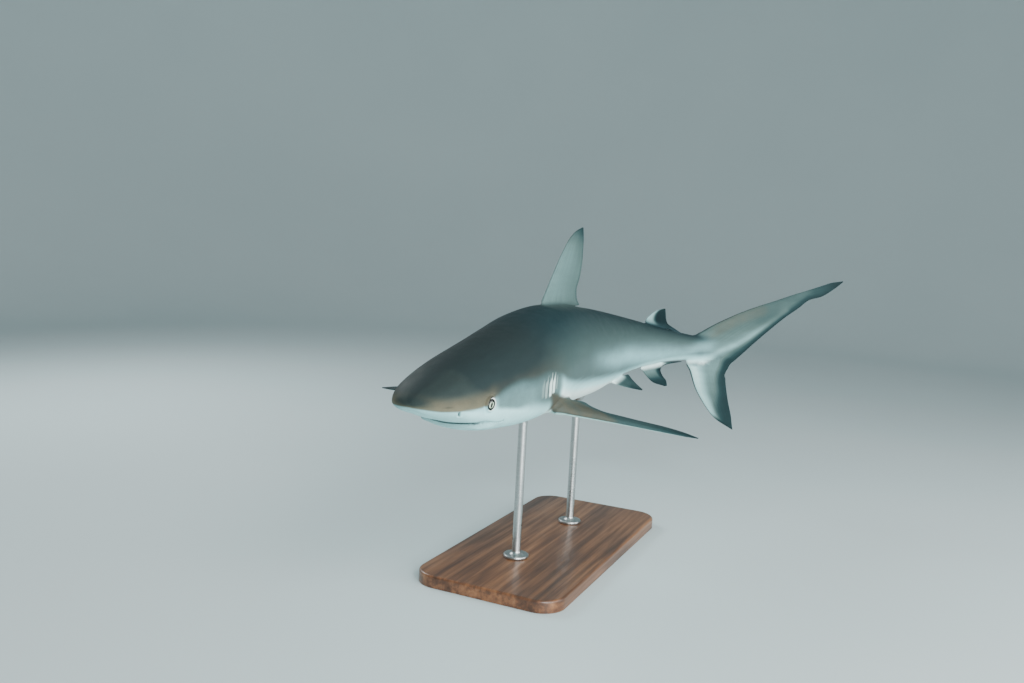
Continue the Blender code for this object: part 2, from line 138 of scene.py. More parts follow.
# ---- the bent line and the sections ----
class BodyLine:
    """The bent line through the body, with its own tailward, left and up at every station."""

    STEPS = 2000
    ROUNDS, STRIDE = 12, 0.8        # how find() walks along the line to the nearest station

    def __init__(self):
        self.stations = np.linspace(0.0, 1.0, self.STEPS + 1)
        bend = np.clip(self.stations, LINE_STATIONS[0], LINE_STATIONS[-1])
        self.heading = smooth(LINE_STATIONS, HEADING, bend)
        self.climb = smooth(LINE_STATIONS, CLIMB, bend)
        along = self.axes(self.stations)[0]
        steps = (along[1:] + along[:-1]) / 2 / self.STEPS
        self.points = np.vstack([np.zeros(3), np.cumsum(steps, axis=0)])
        self.points -= self.points[int(round(BALANCE * self.STEPS))]

    def axes(self, station):
        """The tailward, left and up directions at each station."""
        heading = np.interp(station, self.stations, self.heading)
        climb = np.interp(station, self.stations, self.climb)
        tailward = np.stack([np.cos(heading) * np.cos(climb),
                             np.sin(heading) * np.cos(climb), np.sin(climb)], axis=-1)
        left = np.stack([np.sin(heading), -np.cos(heading), 0 * heading], axis=-1)
        return tailward, left, np.cross(left, tailward)

    def middle(self, station):
        return np.stack([np.interp(station, self.stations, self.points[:, k]) for k in range(3)], axis=-1)

    def place(self, station, left, up):
        """World positions of places on the shark."""
        station, left, up = np.broadcast_arrays(*(np.asarray(v, float) for v in (station, left, up)))
        _, left_axis, up_axis = self.axes(station)
        offset = left_axis * left[..., None] + up_axis * up[..., None]
        return (self.middle(station) + offset) * TOTAL_LENGTH + BALANCE_PLACE

    def find(self, points):
        """The station, left and up of world positions."""
        local = (points - BALANCE_PLACE) / TOTAL_LENGTH
        station = np.interp(local[:, 0], self.points[:, 0], self.stations)
        for _ in range(self.ROUNDS):
            tailward, left_axis, up_axis = self.axes(station)
            away = local - self.middle(station)
            station = np.clip(station + self.STRIDE * (away * tailward).sum(1), 0.0, 1.0)
        return station, (away * left_axis).sum(1), (away * up_axis).sum(1)


LINE = BodyLine()


def body_size(column, station):
    return smooth(np.sqrt(BODY[:, 0]), BODY[:, column], np.sqrt(station))


def chin(station):
    """How far the lower jaw hangs below the body's section."""
    rise = smooth((CHIN_START, CHIN_FULL), (0.0, 1.0), station)
    fall = smooth((CHIN_FULL, JAW_END + CHIN_FADE), (1.0, 0.0), station)
    return CHIN_DROP * np.minimum(rise, fall)


def half_section(station, high, drop=0.0):
    """The widest line's height and half width, and the reach and power of the half over or under it."""
    widest = body_size(WIDEST, station)
    above, below = (smooth(SQUARE_STATIONS, powers, station) for powers in (SQUARE_ABOVE, SQUARE_BELOW))
    reach = np.where(high, body_size(TOP, station) - widest, widest - body_size(BOTTOM, station) + drop)
    return widest, body_size(HALF_WIDTH, station), reach, np.where(high, above, below)


def section(station, angle, drop=0.0):
    """Left and up of a place on the body's skin, from its angle around the section."""
    across, rise = np.cos(angle), np.sin(angle)
    widest, half_width, reach, power = half_section(station, rise >= 0, drop)
    left = half_width * np.sign(across) * np.abs(across) ** (2 / power)
    return left, widest + reach * np.sign(rise) * np.abs(rise) ** (2 / power)


def left_at(station, up):
    """How far out the skin is at a height."""
    widest, half_width, reach, power = half_section(station, up >= body_size(WIDEST, station))
    share = np.clip(np.abs(up - widest) / reach, 0, 1)
    return half_width * (1 - share ** power) ** (1 / power)


def underside_at(station, left, drop=0.0):
    """How low the skin is under a place left of the middle."""
    widest, half_width, reach, power = half_section(station, False, drop)
    share = np.clip(np.abs(left) / half_width, 0, 1)
    return widest - reach * (1 - share ** power) ** (1 / power)


# ---- lines drawn on the skin ----
# How far the upper lip is lifted at the mouth's line: left of the middle, metres.
LIP_RISE = np.array(((0.0, 3.0 * MM), (0.0225, 5.0 * MM), (0.032, 5.6 * MM), (0.038, 6.0 * MM),
                     (0.0445, 4.0 * MM), (0.048, 0.0)))
LIP_WINDOW = (-28 * MM, -1 * MM, 1 * MM, 9 * MM)    # the lift around the line: ahead of it, behind it
LIP_HEIGHT = 0.01          # the lift sets in over this height below the widest line
JAW_AT_LINE = 0.33          # share of the chin's drop at the line itself
MOUTH_POINTS = 500
MOUTH_REACH = 0.997         # share of the half width that the drawn line reaches
MOUTH_CROWDING = 0.8        # power that crowds its points towards the corners
ARCH_LIMIT = 1.3            # the arch is not followed further out than this many half widths


def mouth_arch(left):
    """The station of the mouth's line at a place left of the middle."""
    share = np.abs(left) / MOUTH_HALF_WIDTH
    return MOUTH_FRONT + (MOUTH_CORNER - MOUTH_FRONT) * share ** MOUTH_BLUNTNESS


def mouth_half_width(station):
    share = np.clip((station - MOUTH_FRONT) / (MOUTH_CORNER - MOUTH_FRONT), 0, None)
    return MOUTH_HALF_WIDTH * share ** (1 / MOUTH_BLUNTNESS)


def lip_rise(left):
    return read(LIP_RISE, np.abs(left))[0] / TOTAL_LENGTH


def inside_jaw(station, left):
    """Metres inside the mouth's arch; negative ahead of it and beside it."""
    across = mouth_half_width(station) - np.abs(left)
    along = station - mouth_arch(np.minimum(np.abs(left), ARCH_LIMIT * MOUTH_HALF_WIDTH))
    return np.where(across > 0, np.minimum(across, along), np.maximum(across, along)) * TOTAL_LENGTH


def lip_lift(station, left, up):
    """How far the underside is raised around the mouth's line."""
    near = window(*LIP_WINDOW, inside_jaw(station, left))
    widest = body_size(WIDEST, station)
    return lip_rise(left) * near * ease(widest, widest - LIP_HEIGHT, up)


def mouth_curve():
    """World points along the mouth from its left corner to its right one."""
    turn = np.linspace(-math.pi / 2, math.pi / 2, MOUTH_POINTS)
    left = MOUTH_REACH * MOUTH_HALF_WIDTH * np.sign(turn) * np.sin(np.abs(turn)) ** MOUTH_CROWDING
    station = mouth_arch(left)
    up = underside_at(station, left, JAW_AT_LINE * chin(station)) + lip_rise(left)
    return LINE.place(station, -left, up)


def tree_of(points):
    tree = KDTree(len(points))
    for i, point in enumerate(points):
        tree.insert(point, i)
    tree.balance()
    return tree


class Stroke:
    """A line on the skin, with the distance of any point to it."""

    FAR = 9.0       # stands for any distance out of reach

    def __init__(self, points):
        self.tree = tree_of(points)
        self.last = max(1, len(points) - 1)
        self.low, self.high = points.min(0), points.max(0)

    def measure(self, points, reach=0.03):
        """Distance to the line, and the share of the way along it of the nearest place."""
        distance = np.full(len(points), self.FAR)
        share = np.zeros(len(points))
        near = np.all((points > self.low - reach) & (points < self.high + reach), axis=1)
        for i in np.nonzero(near)[0]:
            _, index, distance[i] = self.tree.find(points[i])
            share[i] = index / self.last
        return distance, share


GILLS = (  # station, upper end, lower end, strength of the painted shadow line, of the painted highlight on the flap ahead of it
    (0.1680, 0.0080, -0.0130, 0.35, 0.12),
    (0.1760, 0.0110, -0.0145, 0.80, 0.25),
    (0.1856, 0.0130, -0.0140, 1.00, 0.85),
    (0.1936, 0.0120, -0.0115, 0.75, 0.85),
    (0.2005, 0.0080, -0.0080, 0.30, 0.12),
)
GILL_LEAN = 0.15
GILL_BOW = 14.0
GILL_POINTS = 60
NOSTRIL = shares((285, -50), (292, -80), (318, -115))
FURROW = shares((1005, -277), (988, -247), (955, -232))


def gill_station(gill, up):
    station, high, low = gill[:3]
    middle = (high + low) / 2
    return station + GILL_LEAN * (up - middle) + GILL_BOW * (up - middle) ** 2


def gill_curve(gill, side):
    up = np.linspace(gill[1], gill[2], GILL_POINTS)
    station = gill_station(gill, up)
    return LINE.place(station, side * left_at(station, up), up)


def side_curve(places, side, count=30):
    """A smooth line on one side of the skin, through (station, up) places."""
    t = np.linspace(0, len(places) - 1, count)
    station, up = (smooth(np.arange(len(places)), column, t) for column in places.T)
    return LINE.place(station, side * left_at(station, up), up)


MOUTH = Stroke(mouth_curve())
GILL_STROKES = [(gill, side, Stroke(gill_curve(gill, side))) for side, _ in SIDES for gill in GILLS]
NOSTRILS = [Stroke(side_curve(NOSTRIL, side)) for side, _ in SIDES]
FURROWS = [Stroke(side_curve(FURROW, side)) for side, _ in SIDES]


# ---- the eyes' frames ----
EYE_OPENING = (0.0132, 0.0139)      # half length and half height of the opening between the lids
EYE_SHIFT = (0.0004, 0.0012)        # how far tailward and up its middle is from the ball's
EYE_LEAN = 0.22                     # how far its top leans tailward
EYE_LOOK = (0.28, 0.08)             # how far the rings sit forward and down, in opening half sizes, which leaves the painted reflection as a crescent at the top and rear


class Eye:
    """One eye's own frame: a tailward, b up and c outward, from the middle of the ball."""

    def __init__(self, side):
        station, left, up = EYE_PLACE
        tailward, left_axis, up_axis = LINE.axes(station)
        outward = left_axis * side
        gaze = outward * math.cos(EYE_TURN) - tailward * math.sin(EYE_TURN)
        along = tailward * math.cos(EYE_TURN) + outward * math.sin(EYE_TURN)
        self.middle = LINE.place(station, side * left, up)
        self.axes = np.stack([along, up_axis, gaze])
        self.half = np.array(EYE_HALF_SIZE)[[0, 2, 1]] * TOTAL_LENGTH

    def local(self, points):
        return (points - self.middle) @ self.axes.T

    def world(self, local):
        return local @ self.axes + self.middle

    def ball(self, a, b):
        """Height of the ball over its middle plane."""
        left_over = 1 - (a / self.half[0]) ** 2 - (b / self.half[1]) ** 2
        return self.half[2] * np.sqrt(np.clip(left_over, 0, 1))


EYES = {side: Eye(side) for side, _ in SIDES}


def opening_places(a, b):
    """Places in the opening between the lids, in its half sizes."""
    b = b - EYE_SHIFT[1]
    return (a - EYE_SHIFT[0] - EYE_LEAN * b) / EYE_OPENING[0], b / EYE_OPENING[1]


def opening_radius(a, b):
    """1 at the lids' edge, 0 at the middle of the opening."""
    return np.hypot(*opening_places(a, b))


# ---- meshes ----
def coordinates(verts):
    return np.array([v.co[:] for v in verts])


def fetch(items, key, width, kind):
    out = np.empty(len(items) * width, kind)
    items.foreach_get(key, out)
    return out.reshape(-1, width)


def get_points(mesh):
    return fetch(mesh.vertices, "co", 3, np.float32).astype(float)


def set_points(mesh, co):
    mesh.vertices.foreach_set("co", np.asarray(co, np.float32).ravel())
    mesh.update()


def triangles(mesh):
    mesh.calc_loop_triangles()
    return fetch(mesh.loop_triangles, "vertices", 3, np.int32)


def vertex_normals(co, faces):
    """Area-weighted normals; faces is an array of triangles."""
    normal = np.cross(co[faces[:, 1]] - co[faces[:, 0]], co[faces[:, 2]] - co[faces[:, 0]])
    total = np.zeros_like(co)
    for k in range(3):
        np.add.at(total, faces[:, k], normal)
    return total / np.maximum(np.linalg.norm(total, axis=1, keepdims=True), 1e-20)


def outward_normals(mesh, co, centre):
    """Turn a mesh's faces away from a centre, and return its vertex normals."""
    normals = vertex_normals(co, triangles(mesh))
    if ((co - centre) * normals).sum() < 0:
        mesh.flip_normals()
        normals = -normals
    return normals


def mesh_of(bm, name, sharp_degrees=None):
    """A mesh from a bmesh, shaded smooth, with sharp edges where an angle is given."""
    mesh = bpy.data.meshes.new(name)
    bm.to_mesh(mesh)
    bm.free()
    mesh.shade_smooth()
    if sharp_degrees:
        mesh.set_sharp_from_angle(angle=math.radians(sharp_degrees))
    return mesh


def link(thing):
    bpy.context.scene.collection.objects.link(thing)
    return thing


def skin_rows(bm, rows, inward=False):
    """Faces between neighbouring rows of vertices; a row of one vertex closes an end."""
    around = max(map(len, rows))
    for near, far in zip(rows, rows[1:]):
        for i in range(around):
            j = (i + 1) % around
            ring = [near[i % len(near)], near[j % len(near)], far[j % len(far)], far[i % len(far)]]
            if inward:
                ring = ring[:1] + ring[:0:-1]
            bm.faces.new(list(dict.fromkeys(ring)))


# ---- the body's mesh ----
BODY_SIDES = 78
# Steps between the first rings: up to a station, a fixed step and a share of the station.
RING_STEPS = ((0.006, 0.0006, 0.25), (0.13, 0.0021, 0.0), (0.25, 0.0026, 0.0), (1.0, 0.0036, 0.0))
SNOUT_RING = 0.0004
END_CAP = 0.0005
SNOUT_POLE = 0.0003         # faces ahead of this are left as they are
REFINE_ROUNDS = 3
TOO_LONG = 1.45             # an edge is cut when it is this many times its wanted size
FINE, MIDDLE, FACE_SIZE, FRONT_SIZE, REAR_SIZE = 1.25 * MM, 2.5 * MM, 3.6 * MM, 4.6 * MM, 7.0 * MM
LID_SIZE = 0.95 * MM
FACE_END, FRONT_END = 0.13, 0.25
STROKE_SIZES = ((0.01, MIDDLE), (0.0045, FINE))    # within metres of a line
EYE_SIZES = ((1.9, MIDDLE), (1.45, LID_SIZE))       # within half sizes of the eye's opening
EYE_DEPTH = 0.03
DETAIL_REACH = 0.02


def wanted_size(points, station):
    """How long the mesh's edges may be at each point."""
    size = np.where(station < FACE_END, FACE_SIZE, np.where(station < FRONT_END, FRONT_SIZE, REAR_SIZE))
    for stroke in [MOUTH] + [s for _, _, s in GILL_STROKES] + NOSTRILS + FURROWS:
        distance, _ = stroke.measure(points, reach=DETAIL_REACH)
        for reach, wanted in STROKE_SIZES:
            size = np.where(distance < reach, np.minimum(size, wanted), size)
    for eye in EYES.values():
        a, b, c = eye.local(points).T
        for reach, wanted in EYE_SIZES:
            near = (np.abs(c) < EYE_DEPTH) & (opening_radius(a, b) < reach)
            size = np.where(near, np.minimum(size, wanted), size)
    return size


def body_angles(co):
    return np.arctan2(co[:, 2], co[:, 1])


def tube_positions(co):
    """World positions of the plain body, for places given as (station, cos, sin)."""
    left, up = section(co[:, 0], body_angles(co))
    return LINE.place(co[:, 0], left, up)


def ring_stations():
    """Stations of the first rings: close on the snout, wider behind."""
    end = BODY[-1, 0]
    stations = [SNOUT_RING]
    while stations[-1] < end - 0.002:
        last = stations[-1]
        step, growth = next(row[1:] for row in RING_STEPS if last < row[0])
        stations.append(last + (step + growth * last))
    return stations[:-1] + [end]


def tube_mesh():
    """A closed tube in (station, cos, sin), refined where the skin has detail."""
    bm = bmesh.new()
    angles = np.linspace(0, 2 * math.pi, BODY_SIDES, endpoint=False)
    rows = [[bm.verts.new((0.0, 0.0, 0.0))]]
    for station in ring_stations():
        rows.append([bm.verts.new((station, math.cos(a), math.sin(a))) for a in angles])
    rows.append([bm.verts.new((BODY[-1, 0] + END_CAP, 0.0, 0.0))])
    skin_rows(bm, rows)
    for _ in range(REFINE_ROUNDS):
        bm.verts.index_update()
        co = coordinates(bm.verts)
        world = tube_positions(co)
        size = wanted_size(world, co[:, 0])
        chosen = set()
        for face in bm.faces:
            ids = [v.index for v in face.verts]
            if min(co[ids, 0]) < SNOUT_POLE:
                continue
            longest = np.linalg.norm(np.diff(world[ids + ids[:1]], axis=0), axis=1).max()
            if longest > TOO_LONG * size[ids].min():
                chosen.update(face.edges)
        if not chosen:
            break
        bmesh.ops.subdivide_edges(bm, edges=list(chosen), cuts=1, use_grid_fill=True)
    return bm


JAW_SOFT = (0.0007, 0.016)      # the step's half width at the mouth, and its gain at the corners
JAW_CORNER = (-0.004, 0.016)    # between these stations from the corners


def jaw_share(station, left, up):
    """1 on the lower jaw, 0 above and ahead of the mouth; the step softens behind its corners."""
    near, far = (MOUTH_CORNER + step for step in JAW_CORNER)
    soft = JAW_SOFT[0] + JAW_SOFT[1] * ease(near, far, station)
    return ease(-soft, 1.6 * soft, inside_jaw(station, left)) * (up < body_size(WIDEST, station))


# What is pressed into the skin: depth and half width, metres.
MOUTH_GROOVE = (0.004, 0.0016)
FURROW_GROOVE = (0.0016, 0.0011)
NOSTRIL_SLIT = (0.0042, 0.0019)
GILL_SLIT = (0.003, 0.0021)
# And what is raised or sunk around it: height, and the distances over which it fades, metres.
UPPER_LIP = (0.0005, (0.0, 0.0025, 0.004, 0.018))
LOWER_LIP = (0.0022, (0.002, 0.01, 0.014, 0.03))
NOSTRIL_FLAP = (0.001, (0.01, 0.003))
GILL_FLAP = (0.001, (-0.016, -0.0005))
GILL_SUNK = (0.0014, (0.016, 0.0005))
GILL_REACH = 0.018
# The ridge on the back: height, half width and window of stations.  The pits ahead of the tail
# fin: depth, station, half length, half width and whether it is the one above.
RIDGE = (0.0018, 0.0045, (0.415, 0.45, 0.6, 0.635))
PITS = ((0.0032, 0.727, 0.007, 0.012, True), (0.0016, 0.719, 0.006, 0.01, False))
# The lids: heights over the ball in metres, places and widths in half sizes of the opening.
LID_NEAR = (-0.02, 3.2)     # the least height and the largest radius that are shaped
LID_RIM = (0.0011, (2.1, 1.08))
LID_SWELL = (0.0007, 1.16, 0.13)
LID_CREASE = (0.0009, 1.52, 0.14)
LID_FOLD = 0.0005
SOCKET_DEPTH = 0.0035


class Sculpture:
    """The plain skin, the depth pressed into it and each mark's strength at every vertex."""

    # the marks are painted shade in the mouth, nostrils, gill slits, lids' edge and socket, painted
    # highlight on the gill flaps' edges, and pale on the lids' fold and lower rear
    MARKS = ("mouth", "nostril", "gill", "gill_glint", "lid", "lid_low", "socket", "fold")

    def __init__(self, station, left, up, base):
        self.station, self.left, self.up, self.base = station, left, up, base
        self.depth = np.zeros(len(station))
        self.marks = {name: np.zeros(len(station)) for name in self.MARKS}

    def mark(self, name, value, where=slice(None)):
        self.marks[name][where] = np.maximum(self.marks[name][where], value)

    def press_mouth(self):
        depth, station = self.depth, self.station
        distance, _ = MOUTH.measure(self.base)
        jaw = jaw_share(station, self.left, self.up)
        corner = ease(MOUTH_CORNER + 0.001, MOUTH_CORNER - 0.02, station)
        depth -= MOUTH_GROOVE[0] * hump(distance, MOUTH_GROOVE[1]) * (0.35 + 0.65 * corner)
        depth += (1 - jaw) * UPPER_LIP[0] * window(*UPPER_LIP[1], distance)
        depth += jaw * LOWER_LIP[0] * window(*LOWER_LIP[1], distance) * corner
        # the dark line is painted shadow in the recess under the upper lip, wider at the front, with
        # painted shade on the jaw behind it
        ahead = ease(0.0475, 0.034, np.abs(self.left))
        band = jaw * ease(0.0075, 0.0045, distance / (0.25 + 0.75 * ahead))
        line = np.maximum(hump(distance, 0.0018 + 0.0012 * ahead), band)
        shade = 0.46 * jaw * ease(0.024, 0.004, distance) * (0.35 + 0.65 * ahead)
        self.mark("mouth", np.maximum(line * (0.58 + 0.42 * ahead), shade))

    def press_furrows(self):
        """A furrow at each corner of the mouth, with painted shade in it."""
        for furrow in FURROWS:
            distance, along = furrow.measure(self.base)
            groove = hump(distance, FURROW_GROOVE[1])
            self.depth -= FURROW_GROOVE[0] * groove * ease(1.0, 0.6, along)
            # painted shade in the furrow
            self.mark("mouth", 0.2 * groove * ease(1.0, 0.5, along))

    def press_nostrils(self):
        """A slit on each side, with its edges raised and painted shade in it."""
        for nostril in NOSTRILS:
            distance, along = nostril.measure(self.base)
            slit = hump(distance, NOSTRIL_SLIT[1]) * window(0.0, 0.12, 0.88, 1.0, along)
            self.depth -= NOSTRIL_SLIT[0] * slit
            self.depth += NOSTRIL_FLAP[0] * ease(*NOSTRIL_FLAP[1], distance) * (1 - slit)
            self.mark("nostril", slit)

    def press_gills(self):
        """Slits, each with a flap that lies over the next; painted shadow lies behind each slit and a
        painted highlight on each flap's edge.
        """
        for gill, side, stroke in GILL_STROKES:
            distance, along = stroke.measure(self.base)
            ends = window(0.0, 0.1, 0.9, 1.0, along) * (np.sign(self.left) == side)
            behind = (self.station - gill_station(gill, self.up)) * TOTAL_LENGTH
            near = distance < GILL_REACH
            slit = hump(distance, GILL_SLIT[1]) * ends
            flap = ease(*GILL_FLAP[1], behind) * (behind < 0) * ends * near
            sunk = ease(*GILL_SUNK[1], behind) * (behind >= 0) * ends * near
            self.depth += GILL_FLAP[0] * flap - GILL_SUNK[0] * sunk - GILL_SLIT[0] * slit
            shadow = window(-0.0006, 0.0008, 0.002, 0.0065, behind) * ends * (distance < 0.01)
            self.mark("gill", gill[3] * shadow)
            # a painted highlight on the flap's edge, wider and stronger low down
            low = ease(0.01, 0.001, self.up)
            reach = 0.004 + 0.006 * low
            edge = window(-reach - 0.004, -reach, -0.0018, -0.0003, behind) * ends
            self.mark("gill_glint", gill[4] * edge * (distance < 0.02) * (0.6 + 0.4 * low))

    def press_back(self):
        """The ridge between the dorsal fins and the pits ahead of the tail fin."""
        across = self.left * TOTAL_LENGTH
        back = self.up > 0
        height, width, stations = RIDGE
        self.depth += height * (hump(across, width) * back) * window(*stations, self.station)
        for height, station, length, width, above in PITS:
            along = (self.station - station) * TOTAL_LENGTH
            self.depth -= height * hump(along, length) * hump(across, width) * (back == above)

    def set_lids(self, eye, co):
        """Set the lids around an eye and sink the skin inside them behind its ball."""
        a, b, c = eye.local(co).T
        near = np.nonzero((c > LID_NEAR[0]) & (opening_radius(a, b) < LID_NEAR[1]))[0]
        a, b, c = a[near], b[near], c[near]
        radius, ball, share = opening_radius(a, b), eye.ball(a, b), b / EYE_OPENING[1]
        height = c + (ball + LID_RIM[0] - c) * ease(*LID_RIM[1], radius)
        height = height + LID_SWELL[0] * hump(radius - LID_SWELL[1], LID_SWELL[2])
        height = height - LID_CREASE[0] * hump(radius - LID_CREASE[1], LID_CREASE[2])
        # the fold of the lower lid lies on the ball, and the rest of the opening behind it
        under_fold = ease(-0.15, -0.75, share) * ease(0.9, 0.94, radius)
        inner = blend(under_fold, ball - SOCKET_DEPTH, ball + LID_FOLD)
        height = blend(ease(1.0, 0.93, radius), height, inner)
        # the lids' edge is painted dark as shade where they meet the ball, pale on the lower rear and the
        # fold; the socket behind the ball is painted shade
        lid = hump(radius - 1.03, 0.07)
        self.mark("lid", lid, near)
        self.mark("lid_low", lid * ease(0.6, -0.25, (b - 1.1 * a) / EYE_OPENING[1]), near)
        self.mark("socket", ease(1.0, 0.95, radius), near)
        self.mark("fold", under_fold * ease(1.0, 0.96, radius), near)
        co[near] = eye.world(np.stack([a, b, height], axis=1))

    def finish(self, normals):
        """The skin's places once everything is pressed in; the marks are complete after it."""
        for press in (self.press_mouth, self.press_furrows, self.press_nostrils, self.press_gills,
                      self.press_back):
            press()
        co = self.base + normals * self.depth[:, None]
        for eye in EYES.values():
            self.set_lids(eye, co)
        return co


def make_body():
    """The body's skin as an object, with the strength of its marks by vertex."""
    bm = tube_mesh()
    co = coordinates(bm.verts)
    mesh = mesh_of(bm, "body_skin")
    station, angle = co[:, 0], body_angles(co)
    left, up = section(station, angle)
    pole = np.linalg.norm(co[:, 1:], axis=1) < 0.01
    left[pole] = 0.0
    up[pole] = body_size(WIDEST, station[pole])
    jaw_left, jaw_up = section(station, angle, chin(station) * jaw_share(station, left, up))
    jaw_left[pole], jaw_up[pole] = left[pole], up[pole]
    base = LINE.place(station, jaw_left, jaw_up + lip_lift(station, left, up))
    set_points(mesh, base)
    normals = outward_normals(mesh, base, LINE.place(station, 0 * left, body_size(WIDEST, station)))
    sculpture = Sculpture(station, left, up, base)
    set_points(mesh, sculpture.finish(normals))
    return bpy.data.objects.new("body_skin", mesh), sculpture.marks


# ---- the fins ----
PECTORAL_ROOT = (0.2105, 0.0558, -0.0356)
PELVIC_ROOT = (0.4815, 0.0311, -0.047)
PELVIC_SET = (0.52, 0.06, -0.22, 1.2)      # droop, pitch, swing and size
PAIRED_AXES_BEHIND = 0.02   # a paired fin takes its directions from this far behind its root
BLADE_FULLNESS = 2.6
# lead (x, z), trail (x, z), half thickness, from inside the body to the tip
FIRST_DORSAL = shares(
    (-160, -120, 1000, -120, 80), (-60, 0, 1020, 0, 68), (-20, 35, 1165, 35, 60),
    (50, 105, 1085, 105, 52), (170, 232, 1056, 232, 44), (345, 433, 1143, 433, 36),
    (559, 676, 1195, 676, 28), (787, 903, 1197, 903, 20), (960, 1020, 1185, 1020, 14),
    (1145, 1100, 1168, 1100, 6))
SECOND_DORSAL = shares(
    (-60, -100, 450, -100, 50), (-40, 0, 470, 0, 40), (-20, 25, 800, 18, 30), (30, 95, 510, 95, 26),
    (125, 180, 465, 180, 20), (255, 260, 445, 260, 14), (405, 315, 430, 315, 6))
ANAL = shares(
    (-40, -100, 400, -100, 50), (-40, 0, 430, 0, 40), (-30, 30, 900, 30, 28), (10, 65, 530, 65, 26),
    (80, 130, 455, 130, 22), (205, 240, 520, 240, 18), (340, 330, 610, 330, 13), (580, 415, 640, 415, 6))
PECTORAL = shares(
    (40, -300, 560, -300, 110), (0, 0, 620, 0, 95), (70, 100, 775, 100, 80), (165, 220, 720, 220, 68),
    (300, 375, 705, 375, 55), (500, 630, 850, 630, 42), (700, 885, 1010, 885, 32),
    (900, 1140, 1165, 1140, 24), (1090, 1365, 1235, 1365, 15), (1225, 1500, 1238, 1500, 6))
PELVIC = shares(
    (20, -150, 400, -150, 40), (0, 0, 450, 0, 35), (30, 40, 680, 40, 28), (130, 120, 600, 120, 22),
    (260, 200, 545, 200, 16), (455, 310, 495, 310, 6))
CAUDAL_UPPER = shares(
    (7330, -160, 7970, -430, 70), (7285, 165, 8016, -256, 95), (7450, 275, 8110, -150, 85),
    (7647, 399, 8200, -55, 70), (8170, 677, 8491, 258, 45), (8684, 895, 8870, 631, 30),
    (8950, 1010, 9060, 790, 22), (9181, 1101, 9240, 949, 17), (9400, 1190, 9425, 1015, 14),
    (9577, 1262, 9630, 1163, 10), (9758, 1302, 9765, 1290, 6))
CAUDAL_LOWER = shares(
    (7340, -20, 7985, -300, 70), (7215, -240, 7976, -440, 65), (7311, -394, 7984, -525, 55),
    (7447, -664, 8062, -839, 40), (7728, -1021, 8150, -1110, 26), (7881, -1168, 8171, -1210, 17),
    (8194, -1340, 8200, -1335, 6))


def on_back(origin, base=1.0, curl=0.0, sag=0.0):
    """Places for a fin on the back; behind its base a free rear tip can curl left and sag."""
    def place(x, z, side):
        free = np.maximum(0.0, x - base) ** 2
        return LINE.place(origin + x, side + curl * free, body_size(TOP, origin + x) + z - sag * free)
    return place


def under_belly(origin):
    return lambda x, z, side: LINE.place(origin + x, side, body_size(BOTTOM, origin + x) - z)


def behind_stalk(x, z, side):
    return LINE.place(x, side, z)


def paired(root_place, side, droop, pitch, swing, size=1.0):
    """Places on a flat fin; droop lowers the tip, pitch the trailing edge, swing leads the tip."""
    station, left, up = root_place
    tailward, left_axis, up_axis = LINE.axes(station + PAIRED_AXES_BEHIND)
    out = left_axis * side * math.cos(droop) - up_axis * math.sin(droop)
    rise = left_axis * side * math.sin(droop) + up_axis * math.cos(droop)
    chord = tailward * math.cos(pitch) - rise * math.sin(pitch)
    normal = tailward * math.sin(pitch) + rise * math.cos(pitch)
    along = (chord * math.cos(swing) + out * math.sin(swing)) * size
    across = (out * math.cos(swing) - chord * math.sin(swing)) * size
    root = LINE.place(station, side * left, up)

    def place(x, z, bulge):
        x, z, bulge = (np.asarray(v, float)[..., None] for v in (x, z, bulge))
        return root + (along * x + across * z + normal * bulge) * TOTAL_LENGTH
    return place


BODY_KIND, DORSAL_1, DORSAL_2, ANAL_FIN, PECTORALS, PELVICS, TAIL_UPPER, TAIL_LOWER = range(8)
FINS = (  # name, kind, cuts, place, rows in a cut, steps along the chord
    ("first_dorsal", DORSAL_1, FIRST_DORSAL, on_back(0.303), 8, 26),
    ("second_dorsal", DORSAL_2, SECOND_DORSAL, on_back(0.622, base=0.045, curl=9.0, sag=4.0), 6, 18),
    ("anal", ANAL_FIN, ANAL, under_belly(0.624), 6, 18),
    ("pectoral_left", PECTORALS, PECTORAL, paired(PECTORAL_ROOT, 1, 0.256, 0.03, 0.05), 9, 24),
    ("pectoral_right", PECTORALS, PECTORAL, paired(PECTORAL_ROOT, -1, 0.145, -0.03, 0.236), 9, 24),
    ("pelvic_left", PELVICS, PELVIC, paired(PELVIC_ROOT, 1, *PELVIC_SET), 6, 16),
    ("pelvic_right", PELVICS, PELVIC, paired(PELVIC_ROOT, -1, *PELVIC_SET), 6, 16),
    ("caudal_upper", TAIL_UPPER, CAUDAL_UPPER, behind_stalk, 8, 22),
    ("caudal_lower", TAIL_LOWER, CAUDAL_LOWER, behind_stalk, 8, 20),
)


